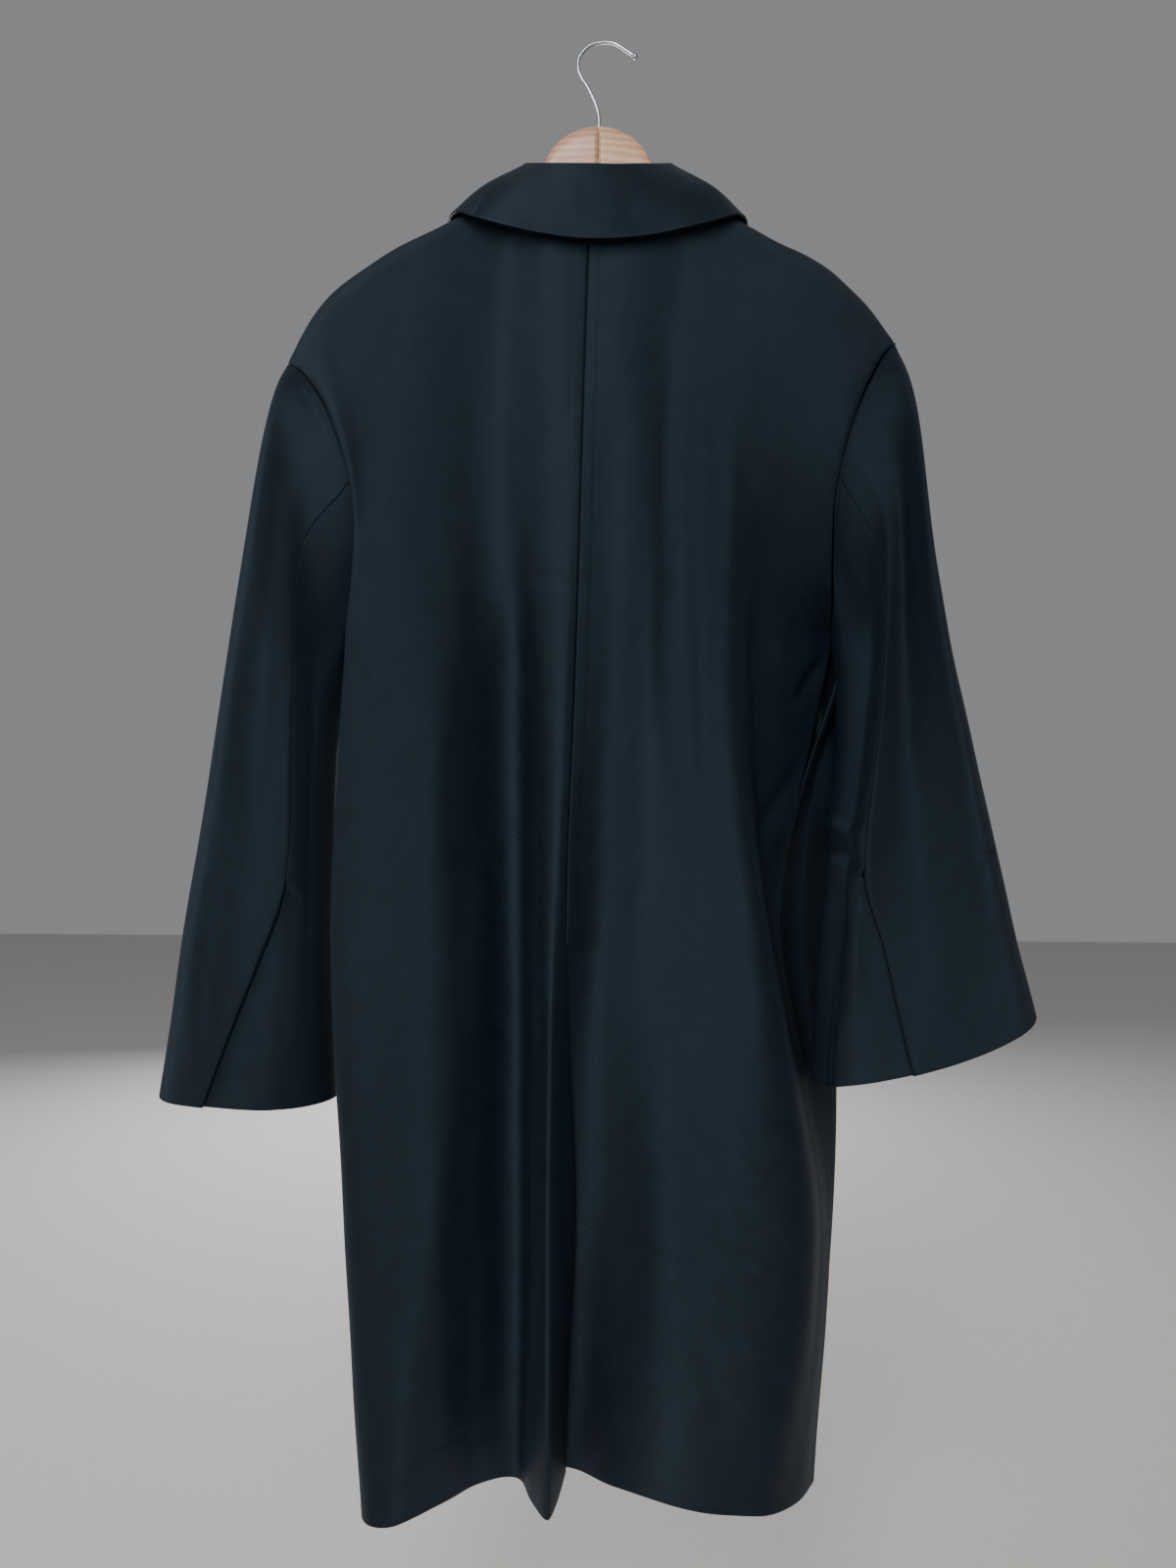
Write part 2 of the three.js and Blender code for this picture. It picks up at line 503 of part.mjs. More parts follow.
// Body and sleeve lie in one line across the armhole seam, but for the underarm, where each
// keeps its own normal. "own" names the one of the two that asks.
function armholeNormal(side, turn, own) {
  const whole = ((turn % 1) + 1) % 1;
  const back = whole <= 0.5;
  const level = (back ? whole : 1 - whole) * 2 * UNDERARM;
  const body = bodyNormal(side, back ? 1 : FRONT_START, Math.min(level, UNDERARM - 1e-6));
  const sleeve = sleeveNormal(side, turn, 0);
  const agree = body.dot(sleeve) >= SHARED_FROM;
  const normal = agree ? body.clone().add(sleeve) : (own === 'body' ? body : sleeve);
  normal.y *= ease(Math.min(whole, 1 - whole) / UPRIGHT_TURN);
  return normal.normalize();
}

// Left and right backs lie in one line across the centre seam.
function centreNormal(level) {
  const left = bodyNormal('left', 0, level);
  const right = bodyNormal('right', 0, level);
  const [y, z] = [left.y + right.y, left.z + right.z];
  return { left: new THREE.Vector3(left.x - right.x, y, z).normalize(),
    right: new THREE.Vector3(right.x - left.x, y, z).normalize() };
}

// Back and front lie in one line over the shoulder ridge, so its normal leans neither way.
function upright(n) {
  return new THREE.Vector3(n.x, 0, n.z).normalize();
}

// ---------------------------------------------------------------- build

function named(name, geometry, colour, roughness) {
  const material = new THREE.MeshStandardMaterial({ color: colour, roughness });
  const mesh = new THREE.Mesh(geometry, material);
  mesh.name = name;
  return mesh;
}

function backPanel(side) {
  const rowList = [...UPPER_ROWS, ...LOWER_ROWS];
  const shared = { row0: (a, b, n) => upright(n) };
  const last = BACK_CELLS.length - 1;
  shared.column0 = (a, b, n) => (b <= VENT_TOP ? centreNormal(b)[side] : n);
  shared[`column${last}`] = (a, b) => (b < UNDERARM ? armholeNormal(side, b / UNDERARM / 2, 'body')
    : bodyNormal(side, 1, b));
  const surface = (a, b) => bodyPoint(side, a, b);
  return panel(surface, BACK_CELLS, rowList, { side, outward: 1, shared,
    sink: side === 'right' ? ventTuck : undefined,
    seams: ['first row', 'first column', 'last column'] });
}

function frontPanel(side) {
  const rowList = [...UPPER_ROWS, ...LOWER_ROWS];
  const shared = { row0: (a, b, n) => upright(n),
    column0: (a, b) => (b < UNDERARM ? armholeNormal(side, -b / UNDERARM / 2, 'body')
    : bodyNormal(side, 1, b)) };
  const surface = (a, b) => bodyPoint(side, a === 1 && b < UNDERARM ? FRONT_START : a, b);
  return panel(surface, FRONT_CELLS, rowList, { side, outward: 1, shared,
    seams: ['first row', 'first column'] });
}

// Turns of the armhole's rows, a full round, so that the sleeve meets the body cell by cell.
function armholeTurns() {
  const back = UPPER_ROWS.map((level) => level / UNDERARM / 2);
  const front = [...back].reverse().slice(1).map((turn) => 1 - turn);
  return [...back, ...front];
}

// The turn of the sleeve's back seam at a section; below the vent's top it leans outward.
function backSeamTurn(side, section) {
  const { turn } = BACK_SEAM[side];
  return through(turn.map((t, i) => i), turn, section);
}

function sleevePanel(side, part) {
  const turns = armholeTurns();
  const start = turns[BACK_SEAM_START];
  const end = turns[FRONT_SEAM_START];
  const columns = part === 'under' ? turns.slice(BACK_SEAM_START, FRONT_SEAM_START + 1)
    : [...turns.slice(FRONT_SEAM_START, -1).map((t) => t - 1),
      ...turns.slice(0, BACK_SEAM_START + 1)];
  const vent = BACK_SEAM[side].ventTop;
  const under = part === 'under';
  const warp = (c, section) => {
    let seam = backSeamTurn(side, section);
    if (under) {
      seam -= CUFF_TUCK.lap * ease((section - vent - CUFF_TUCK.over) / CUFF_TUCK.lapOver);
    }
    if (c < 0) return c;
    return c <= start ? c * seam / start : mix(seam, end, (c - start) / (end - start));
  };
  const surface = (turn, section) => sleevePoint(side, turn, section);
  const sink = (turn, section) => CUFF_TUCK.depth * ease((section - vent) / CUFF_TUCK.over)
    * ease(1 - (turn - backSeamTurn(side, section)) / CUFF_TUCK.reach);
  const shared = { row0: (turn) => armholeNormal(side, turn, 'sleeve') };
  return panel(surface, columns, SLEEVE_ROWS, { side, outward: -1, shared, warp,
    sink: under ? sink : undefined, seams: ['first row', 'first column', 'last column'] });
}

function collarPoint(around, down) {
  const side = around >= 0 ? 'left' : 'right';
  const sign = around >= 0 ? 1 : -1;
  const rows = COLLAR;
  const knots = [...rows.slice(1).map((r) => -r.at).reverse(), ...rows.map((r) => r.at)];
  const value = (key, odd) => {
    const own = rows.map((r) => r[key]);
    const mirrored = own.slice(1).reverse().map((v) => (odd ? -v : v));
    return through(knots, [...mirrored, ...own], around);
  };
  const neckX = Math.abs(value('neckX', true));
  const neckDrop = NECK_Z - topEdgeZ(side, neckX);
  const neckSide = value('neckSide');
  const neckDepth = (NECK_DEPTH - CLOTH) * rounding(neckDrop);
  const neck = new THREE.Vector3(sign * (neckX - NECK_IN), neckSide * neckDepth,
    topEdgeZ(side, neckX) + COLLAR_LIFT);
  const fold = new THREE.Vector3(value('foldX', true), value('foldY'), value('foldZ'));
  const edge = new THREE.Vector3(value('edgeX', true), value('edgeY'), value('edgeZ'));
  const out = new THREE.Vector3(edge.x - fold.x, edge.y - fold.y, 0).normalize();
  const inside = fold.clone().addScaledVector(out, -FOLD_IN * FOLD_ROUND);
  inside.z -= FOLD_ROUND;
  const outside = fold.clone().addScaledVector(out, FOLD_OUT * FOLD_ROUND);
  outside.z -= FOLD_ROUND;
  const middle = outside.clone().lerp(edge, 0.5).addScaledVector(out, value('bow'));
  middle.z -= value('settle');
  const places = [neck, inside, fold, outside, middle, edge];
  const at = (key) => through(COLLAR_KNOTS, places.map((p) => p[key]), down);
  return new THREE.Vector3(at('x'), at('y'), at('z'));
}

function collarGeometry() {
  const columns = Array.from({ length: COLLAR_CELLS + 1 }, (_, i) => -1 + 2 * i / COLLAR_CELLS);
  return panel(collarPoint, columns, COLLAR_DOWN, { side: 'left', outward: 1 });
}

function lapelGeometry(side) {
  const levels = LAPEL.map((r) => r.level);
  const widths = LAPEL.map((r) => r.width);
  const surface = (share, level) => {
    const at = 2 - LAPEL_IN - share * through(levels, widths, level);
    const point = bodyPoint(side, at, level);
    const n = bodyNormal(side, Math.min(at, 2 - 1e-3), level);
    return point.addScaledVector(n, LAPEL_RAISE + CLOTH);
  };
  const columns = Array.from({ length: LAPEL_CELLS + 1 }, (_, i) => i / LAPEL_CELLS);
  return panel(surface, columns, LAPEL_ROWS, { side, outward: -1 });
}

// ---------------------------------------------------------------- buttons, hanger, hook

async function solids() {
  const wasm = await Module();
  wasm.setup();
  const body = (geometry) => {
    const bare = new THREE.BufferGeometry();
    bare.setAttribute('position', geometry.getAttribute('position').clone());
    if (geometry.index) bare.setIndex(geometry.index.clone());
    const merged = mergeVertices(bare, 1e-4);
    return new wasm.Manifold(new wasm.Mesh({ numProp: 3,
      vertProperties: new Float32Array(merged.getAttribute('position').array),
      triVerts: new Uint32Array(merged.index.array) }));
  };
  const geometryOf = (solid) => {
    const mesh = solid.getMesh();
    const geometry = new THREE.BufferGeometry();
    geometry.setAttribute('position', new THREE.Float32BufferAttribute(mesh.vertProperties, 3));
    geometry.setIndex(Array.from(mesh.triVerts));
    geometry.computeVertexNormals();
    return geometry;
  };
  return { body, geometryOf };
}

function buttonGeometry(tools) {
  const b = BUTTON;
  const profile = [[0, 0], [b.radius - b.bevel, 0], [b.radius, b.bevel],
    [b.radius, b.thick - b.bevel], [b.radius - b.bevel, b.thick],
    [b.radius - b.rimWidth, b.thick], [b.radius - b.rimWidth - b.bevel, b.thick - b.dish],
    [0, b.thick - b.dish]];
  const points = profile.map(([x, y]) => new THREE.Vector2(x, y));
  let solid = tools.body(new THREE.LatheGeometry(points, b.sides));
  for (let i = 0; i < 4; i += 1) {
    const hole = new THREE.CylinderGeometry(b.holeRadius, b.holeRadius, 4 * b.thick, 6);
    const angle = Math.PI / 4 + i * Math.PI / 2;
    const out = b.holeSpacing / Math.SQRT2;
    hole.translate(Math.cos(angle) * out, 0, Math.sin(angle) * out);
    solid = solid.subtract(tools.body(hole));
  }
  return tools.geometryOf(solid);
}

// A button lying on the left front, its back flat on the cloth's highest point beneath it.
function seatedButton(tools, level) {
  const at = 2 - BUTTON.fromEdge;
  const centre = placed(bodyPoint('left', at, level), 'left');
  const n = bodyNormal('left', at, level);
  const geometry = buttonGeometry(tools);
  const turn = new THREE.Quaternion().setFromUnitVectors(new THREE.Vector3(0, 1, 0), n);
  geometry.applyQuaternion(turn);
  let lift = 0;
  const { count } = SEAT_STEPS;
  for (let i = -count; i <= count; i += 1) {
    for (let j = -count; j <= count; j += 1) {
      const near = placed(bodyPoint('left', Math.min(2, at + i * SEAT_STEPS.at),
        level + j * SEAT_STEPS.level), 'left');
      const off = near.clone().sub(centre);
      const height = off.dot(n);
      if (off.addScaledVector(n, -height).length() < BUTTON.radius) lift = Math.max(lift, height);
    }
  }
  const seat = centre.addScaledVector(n, lift + BUTTON.lift);
  geometry.translate(seat.x, seat.y, seat.z);
  return geometry;
}

function hangerHalf(tools, side) {
  const sign = side === 'left' ? 1 : -1;
  const points = [];
  HANGER.forEach((s) => {
    for (let k = 0; k < HANGER_SIDES; k += 1) {
      const angle = 2 * Math.PI * (k + 0.5) / HANGER_SIDES;
      const square = (v) => Math.sign(v) * Math.abs(v) ** HANGER_SQUARE;
      points.push([COAT_X + sign * s.x, s.half * square(Math.sin(angle)),
        (s.top + s.bottom) / 2 + (s.top - s.bottom) / 2 * square(Math.cos(angle))
          / square(Math.cos(Math.PI / HANGER_SIDES))]);
    }
  });
  const index = [];
  const m = HANGER_SIDES;
  const tri = (a, b, c) => (side === 'left' ? index.push(a, b, c) : index.push(a, c, b));
  for (let i = 0; i < HANGER.length - 1; i += 1) {
    for (let k = 0; k < m; k += 1) {
      const [a, b] = [i * m + k, i * m + (k + 1) % m];
      tri(a, a + m, b + m);
      tri(a, b + m, b);
    }
  }
  const last = (HANGER.length - 1) * m;
  for (let k = 1; k < m - 1; k += 1) {
    tri(0, k, k + 1);
    tri(last, last + k + 1, last + k);
  }
  const geometry = new THREE.BufferGeometry();
  geometry.setAttribute('position', new THREE.Float32BufferAttribute(points.flat(), 3));
  geometry.setIndex(index);
  const bore = new THREE.CylinderGeometry(HOOK.boreRadius, HOOK.boreRadius, HOOK.boreLength, 12);
  bore.rotateX(Math.PI / 2);
  bore.translate(COAT_X, 0, HOOK.stemFoot - SEAM_GAP + HOOK.boreLength / 2);
  return tools.geometryOf(tools.body(geometry).subtract(tools.body(bore)));
}

function hookGeometry(tools) {
  const path = new THREE.CatmullRomCurve3(HOOK_WIRE.map((p) => new THREE.Vector3(p.x, 0, p.z)));
  const round = new THREE.Shape();
  round.absarc(0, 0, HOOK.radius, 0, 2 * Math.PI, false);
  const wire = new THREE.ExtrudeGeometry(round, { steps: HOOK_CELLS, curveSegments: 5,
    bevelEnabled: false, extrudePath: path });
  const knob = new THREE.SphereGeometry(HOOK.knobRadius, 10, 8);
  const tip = HOOK_WIRE[HOOK_WIRE.length - 1];
  knob.translate(tip.x, 0, tip.z);
  return tools.geometryOf(tools.body(wire).add(tools.body(knob)));
}

async function build() {
  const tools = await solids();
  const group = new THREE.Group();
  const cloth = (name, geometry) => group.add(named(name, geometry, 0x14161b, 0.85));
  ['left', 'right'].forEach((side) => {
    cloth(`back_${side}`, backPanel(side));
    cloth(`front_${side}`, frontPanel(side));
    cloth(`lapel_${side}`, lapelGeometry(side));
    cloth(`sleeve_upper_${side}`, sleevePanel(side, 'upper'));
    cloth(`sleeve_under_${side}`, sleevePanel(side, 'under'));
    const wood = side === 'left' ? 0xb98250 : 0xcf9a66;
    group.add(named(`hanger_${side}`, hangerHalf(tools, side), wood, 0.45));
  });
  cloth('collar', collarGeometry());
  BUTTON.levels.forEach((level, i) => {
    group.add(named(`button_${i + 1}`, seatedButton(tools, level), 0x101114, 0.35));
  });
  group.add(named('hook', hookGeometry(tools), 0xd8dadd, 0.2));
  return group;
}

export default await build();
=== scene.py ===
# A long dark overcoat on a wooden hanger, seen from behind: twill cloth shells with seams,
# folds, vents, collar and lapels and a satin inside, a hanger in two tones of wood and a wire
# hook. The buttons are the solids' own, with a finish.
# Tables are in millimetres, as the solids' source is; meshes are made in metres.
import json
import math

import bpy
import bmesh
import numpy as np
from mathutils import Matrix, Vector

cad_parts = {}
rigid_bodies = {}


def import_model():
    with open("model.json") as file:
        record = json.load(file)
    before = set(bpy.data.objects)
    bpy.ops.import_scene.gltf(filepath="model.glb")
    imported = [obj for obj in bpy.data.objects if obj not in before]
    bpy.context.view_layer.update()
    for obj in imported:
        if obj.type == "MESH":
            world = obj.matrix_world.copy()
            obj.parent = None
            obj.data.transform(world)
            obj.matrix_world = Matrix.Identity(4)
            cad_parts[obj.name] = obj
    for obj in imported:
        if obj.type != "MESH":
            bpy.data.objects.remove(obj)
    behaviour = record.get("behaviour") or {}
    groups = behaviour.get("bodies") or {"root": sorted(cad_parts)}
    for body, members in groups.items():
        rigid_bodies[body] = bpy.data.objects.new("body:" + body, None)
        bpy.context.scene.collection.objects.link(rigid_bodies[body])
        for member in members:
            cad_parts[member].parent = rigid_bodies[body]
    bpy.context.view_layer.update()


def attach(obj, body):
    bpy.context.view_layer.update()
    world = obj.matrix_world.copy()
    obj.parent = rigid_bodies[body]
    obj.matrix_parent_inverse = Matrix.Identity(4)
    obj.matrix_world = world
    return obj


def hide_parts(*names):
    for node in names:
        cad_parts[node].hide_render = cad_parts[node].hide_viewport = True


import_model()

MM = 0.001

# ---------------------------------------------------------------- the coat's named sizes

CLOTH = 2.0
COLLAR_CLOTH = 2.4
SEAM_GAP = 0.3
COAT_X = 5.0  # the coat's middle
SHOULDER_ROUND = 26.0
NECK_X = 72.0
NECK_Z = -146.0
NECK_DEPTH = 61.0  # the neck's outer face, front and back
LEVEL_Z = [-168.0, -350.0, -560.0, -830.0, -1070.0, -1312.0]
LEVELS = list(range(len(LEVEL_Z)))
UNDERARM = 2  # level of the bottom of the armhole
ARMHOLE_REACH = 0.5  # how far in from the armhole the rows bend to meet it
VENT_TOP = 3  # level at which the centre back vent opens

# The top edge from the neck's centre out along the shoulder: x, z.
TOP_EDGE = [(0, -168), (20, -167), (40, -161), (58, -151), (NECK_X, NECK_Z), (137, -182),
            (183, -202), (222, -225), (244, -236), (256, -247), (265, -262)]

# The armhole's back half, from the shoulder seam down to the underarm: x, y, z.
ARMHOLE = {
    "left": [(288, 0, -303), (286, 6, -304), (270, 19, -316), (249, 34, -345), (233, 45, -380),
             (222, 50, -412), (216, 50, -446), (215, 45, -480), (217, 33, -515), (224, 0, -556)],
    "right": [(278, 0, -279), (276, 6, -280.5), (262, 18, -298), (240, 34, -342), (226, 45, -378),
              (218, 50, -409), (213, 50, -443), (213, 45, -479), (215, 34, -513), (221, 0, -556)],
}

# Lines down the body: (line, at, x at each level, y at each level).
BODY_LINES = {
    "left": [
        ("vent edge", 0, [7, 12, 16, 22, 14, 20], [62, 77, 82, 82, 62, 38]),
        ("strip crest", 0.06, [22, 27, 31, 36, 35, 32], [62, 79, 86, 92, 99, 107]),
        ("strip side", 0.14, [40, 50, 54, 54, 54, 51], [62, 73, 75, 77, 80, 80]),
        ("trough", 0.22, [60, 68, 69, 68, 65, 64], [61, 59, 53, 51, 51, 49]),
        ("slope", 0.4, [100, 104, 104, 104, 102, 98], [60, 65, 67, 68, 67, 58]),
        ("ridge turn", 0.54, [140, 140, 138, 138, 134, 128], [57, 73, 86, 92, 96, 86]),
        ("ridge", 0.68, [190, 168, 168, 170, 168, 166], [50, 74, 91, 98, 107, 118]),
        ("ridge edge", 0.84, [242, 208, 216, 223, 211, 193], [40, 64, 82, 90, 94, 106]),
        ("side seam", 1, [288, 236, 224, 222, 208, 190], [0, 30, 0, 22, 26, 44]),
        ("front side", 1.16, [262, 198, 208, 210, 198, 182], [-43, -56, -44, -22, -16, -6]),
        ("front corner", 1.4, [215, 180, 178, 184, 178, 168], [-52, -58, -62, -60, -58, -60]),
        ("front fold", 1.66, [140, 116, 104, 112, 112, 114], [-54, -64, -70, -66, -60, -54]),
        ("front swell", 1.86, [98, 58, 20, 24, 34, 44], [-52, -66, -72, -72, -74, -78]),
        ("front edge", 2, [66, 18, -28, -28, -28, -28], [-46, -66, -71, -71, -70, -68]),
    ],
    "right": [
        ("underlap", 0, [-7, -12, -16, -22, -50, -54], [62, 77, 82, 82, 54, 28]),
        ("beside vent", 0.12, [16, 12, 8, -2, -10, -14], [62, 77, 80, 72, 54, 33]),
        ("trough side", 0.28, [56, 44, 34, 24, 22, 20], [61, 77, 79, 73, 66, 60]),
        ("rise", 0.5, [100, 78, 76, 78, 80, 84], [60, 69, 77, 81, 86, 90]),
        ("fold edge", 0.7, [150, 112, 112, 140, 174, 140], [56, 82, 94, 97, 97, 97]),
        ("fold foot", 0.84, [222, 172, 156, 154, 198, 174], [42, 64, 54, 50, 62, 80]),
        ("side seam", 1, [278, 236, 221, 172, 212, 199], [0, 30, 0, 18, 30, 44]),
        ("valley", 1.12, [260, 196, 213, 200, 222, 204], [-42, -57, -29, -2, 10, 22]),
        ("outer side", 1.28, [238, 180, 220, 234, 228, 198], [-47, -60, -47, -30, -12, -14]),
        ("front corner", 1.45, [205, 170, 170, 206, 206, 182], [-52, -60, -62, -50, -50, -46]),
        ("front fold", 1.68, [130, 104, 96, 116, 118, 112], [-52, -62, -66, -62, -58, -52]),
        ("front swell", 1.86, [98, 58, 20, 28, 34, 36], [-50, -60, -61, -61, -61, -62]),
        ("front edge", 2, [66, 18, -28, -28, -28, -28], [-44, -60, -61, -61, -60, -60]),
    ],
}
# How the back vent's lower lap goes in: depth, over these levels, within this reach in "at".
TUCK = {"depth": 2.7, "over": 0.04, "reach": 0.2}

# Sleeve sections: outX, outZ, inX, inZ, inY, ridgeX, ridgeY, front, hollow, sag.
SLEEVE = {
    "left": [(298, -338, 232, -604, 0, 267, 50, -48, 0.86, 0),
             (325, -485, 238, -680, 0, 268, 55, -46, 0.84, 0),
             (350.5, -655, 240, -790, 0, 270, 55, -46, 0.82, 0),
             (376, -820, 237, -888, 2, 276, 53, -44, 0.84, 0),
             (399, -981, 236, -981, 4, 290, 48, -40, 0.9, 4)],
    "right": [(291, -326, 224, -596, 8, 256, 54, -46, 0.72, 0),
              (314, -486, 221, -672, 18, 253, 63, -34, 0.6, 0),
              (350, -655, 211, -762, 26, 239, 67, -22, 0.6, 0),
              (384, -795, 205, -850, 26, 230, 66, -16, 0.66, 0),
              (412, -902, 201, -957, 24, 226, 60, -16, 0.8, 15)],
}
SLEEVE_TURNS = [0, 0.06, 0.13, 0.2, 0.34, 0.5, 0.62, 0.78, 0.93]  # of a section's nine places
# The turn at which a sleeve's back seam runs, at each section.
BACK_SEAM = {"left": [0.255, 0.225, 0.2, 0.2, 0.158, 0.113],
             "right": [0.255, 0.225, 0.2, 0.2, 0.166, 0.146]}
# A cuff's vent opens at this section; its lower lap goes in, and is drawn aside by its lap.
CUFF_VENT_TOP = 3.2
CUFF_TUCK = {"depth": 3.8, "over": 0.08, "lap": 0.026, "reach": 0.1}
BACK_SEAM_TURN = 0.255
FRONT_SEAM_TURN = 0.83

# Collar sections: at, neckX, neckSide, foldX, foldY, foldZ, edgeX, edgeY, edgeZ, bow, settle.
COLLAR = [
    (0, 0, 1, 0, 57, -141, 0, 80, -217, 3, 0),
    (0.22, 32, 1, 30, 52, -138.5, 42, 78, -213, 5, 0),
    (0.42, 58, 1, 54, 34, -129, 84, 78, -204, 9, 0),
    (0.56, 69, 1, 65, 14, -118.5, 113, 73, -194, 9, 0),
    (0.62, 71, 1, 67.5, 5, -114, 124, 61, -186, 8, 1),
    (0.65, 71.5, 0.5, 68.2, 0, -112, 134, 36, -178, 5, 0),
    (0.68, 71.5, 0, 68.5, -4, -110, 139, 4, -175.5, 3, 0),
    (0.84, 69, -1, 64, -28, -117, 138, -56, -188, 6, 0),
    (1, 65, -1, 57, -50, -140, 126, -70, -209, 5, 0),
]
COLLAR_DOWN = [0, 0.2, 0.25, 0.3, 0.62, 1]  # neck, in, fold, out, middle and edge
COLLAR_LIFT = 1.1
FOLD_ROUND = 4.5

# Lapel sections: level, width in "at".
LAPEL = [(0.13, 0.34), (0.5, 0.35), (0.9, 0.3), (1.3, 0.18), (1.72, 0.03)]
LAPEL_IN = 0.004  # the lapel's fold stands this far, in "at", inside the front edge
LAPEL_LIFT = SEAM_GAP + CLOTH + 0.6  # its outer face, over the front's
BUTTONS = 3

# Hanger sections: x, top, bottom, half depth.
HANGER = [(0.15, -78, -166, 10), (16, -80.6, -166, 10), (31, -88, -167, 10),
          (42, -98.5, -169, 10.5), (49, -111, -171, 11), (54, -128, -173, 11.5),
          (59, -147, -176, 12), (74, -152.7, -184, 12.5), (110, -171.2, -203, 14),
          (150, -192.2, -223, 16), (190, -210.2, -241, 18), (218, -229, -255, 18),
          (232, -238, -261, 15), (238, -245, -258, 9)]
HANGER_SIDES = 48
HANGER_SQUARE = 0.62  # power that makes a round section squarer

# The hook's wire from the foot of its stem to its tip: x, z.
HOOK_WIRE = [(5, -108), (5, -84), (5.6, -64), (13.4, -44.5), (23, -28), (24.4, -15),
             (14.6, -2.2), (1, 1.6), (-9.5, 0.4), (-19.5, -5.6), (-28.5, -11.4)]
HOOK_RADIUS = 1.6
KNOB_RADIUS = 2.6

# ---------------------------------------------------------------- curves


def through(knots, values, t, period=0.0):
    """Smooth curve through values at rising knots. values is (n,) or (n, m) with t of (m,)."""
    knots = np.asarray(knots, float)
    values = np.asarray(values, float)
    t = np.asarray(t, float)
    if period:
        knots = np.concatenate([knots[-2:] - period, knots, knots[:3] + period])
        values = np.concatenate([values[-2:], values, values[:3]])
    n = len(knots)
    up = np.minimum(np.arange(n) + 1, n - 1)
    down = np.maximum(np.arange(n) - 1, 0)
    widths = (knots[up] - knots[down]).reshape((n,) + (1,) * (values.ndim - 1))
    slopes = (values[up] - values[down]) / widths
    i = np.clip(np.searchsorted(knots, t, side="left") - 1, 0, n - 2)
    span = knots[i + 1] - knots[i]
    f = (t - knots[i]) / span
    f2, f3 = f * f, f * f * f
    if values.ndim == 1:
        v0, v1, s0, s1 = values[i], values[i + 1], slopes[i], slopes[i + 1]
    else:
        c = np.arange(values.shape[1])
        v0, v1, s0, s1 = values[i, c], values[i + 1, c], slopes[i, c], slopes[i + 1, c]
    return ((2 * f3 - 3 * f2 + 1) * v0 + (f3 - 2 * f2 + f) * span * s0
            + (3 * f2 - 2 * f3) * v1 + (f3 - f2) * span * s1)


def mix(a, b, f):
    return a + (b - a) * f


def ease(f):
    c = np.clip(f, 0.0, 1.0)
    return c * c * (3 - 2 * c)


def unit(v):
    return v / np.maximum(np.linalg.norm(v, axis=-1, keepdims=True), 1e-12)


def run_lengths(points):
    """How far along a line of points each one lies."""
    steps = np.linalg.norm(np.diff(points, axis=0), axis=1)
    return np.concatenate([[0], np.cumsum(steps)])


# ---------------------------------------------------------------- the coat's surfaces


def top_edge_z(side, x):
    end = ARMHOLE[side][0]
    rows = TOP_EDGE + [(end[0], end[2])]
    return through([r[0] for r in rows], [r[1] for r in rows], np.minimum(end[0], np.abs(x)))


def ridge_z(side, x):
    return np.where(np.abs(x) < NECK_X, NECK_Z, np.minimum(NECK_Z, top_edge_z(side, x)))


def rounding(drop):
    """The share of its depth that the coat has this far below its top: a quarter round."""
    c = np.maximum(0, 1 - np.maximum(0, drop) / SHOULDER_ROUND)
    return np.sqrt(np.maximum(0, 1 - c * c))


def armhole_point(side, turn):
    rows = np.array(ARMHOLE[side], float)
    lengths = run_lengths(rows)
    whole = np.mod(np.asarray(turn, float), 1)
    back = whole <= 0.5
    along = np.where(back, whole, 1 - whole) * 2 * lengths[-1]
    x, y, z = (through(lengths, rows[:, k], along) for k in range(3))
    return np.stack([x, np.where(back, y, -y), z], axis=-1)


def body_surface(side, ats, levels, front):
    """Outer face of a body panel as a grid [level][at], x outward on its own side."""
    lines = BODY_LINES[side]
    knots = [line[1] for line in lines]
    seam = knots.index(1)
    xs = np.array([through(LEVELS, line[2], levels) for line in lines])
    ys = np.array([through(LEVELS, line[3], levels) for line in lines])
    if side == "right":
        above = levels <= VENT_TOP
        other = BODY_LINES["left"][0]
        xs[0] = np.where(above, -through(LEVELS, other[2], levels), xs[0])
        ys[0] = np.where(above, through(LEVELS, other[3], levels), ys[0])
    grid = np.zeros((len(levels), len(ats), 3))
    for j, level in enumerate(levels):
        x_row, y_row = xs[:, j].copy(), ys[:, j].copy()
        upper = level < UNDERARM
        if upper:
            turn = (-1 if front else 1) * level / UNDERARM / 2
            edge = armhole_point(side, np.array([turn]))[0]
            x_row[seam], y_row[seam] = edge[0], edge[1]
        x = through(knots, x_row, ats)
        depth = through(knots, y_row, ats)
        if not upper:
            z = np.full(len(ats), np.interp(level, LEVELS, LEVEL_Z))
            grid[j] = np.stack([x, depth, z], axis=-1)
            continue
        share = level / UNDERARM

        def height(out):
            return mix(top_edge_z(side, out), LEVEL_Z[UNDERARM], share)

        z = height(x)
        pull = ease(1 - np.abs(ats - 1) / ARMHOLE_REACH)
        edge_z = height(edge[0])
        edge_y = edge[1] * rounding(ridge_z(side, edge[0]) - edge_z)
        grid[j] = np.stack([x, depth * rounding(ridge_z(side, x) - z) + pull * (edge[1] - edge_y),
                            z + pull * (edge[2] - edge_z)], axis=-1)
    return grid


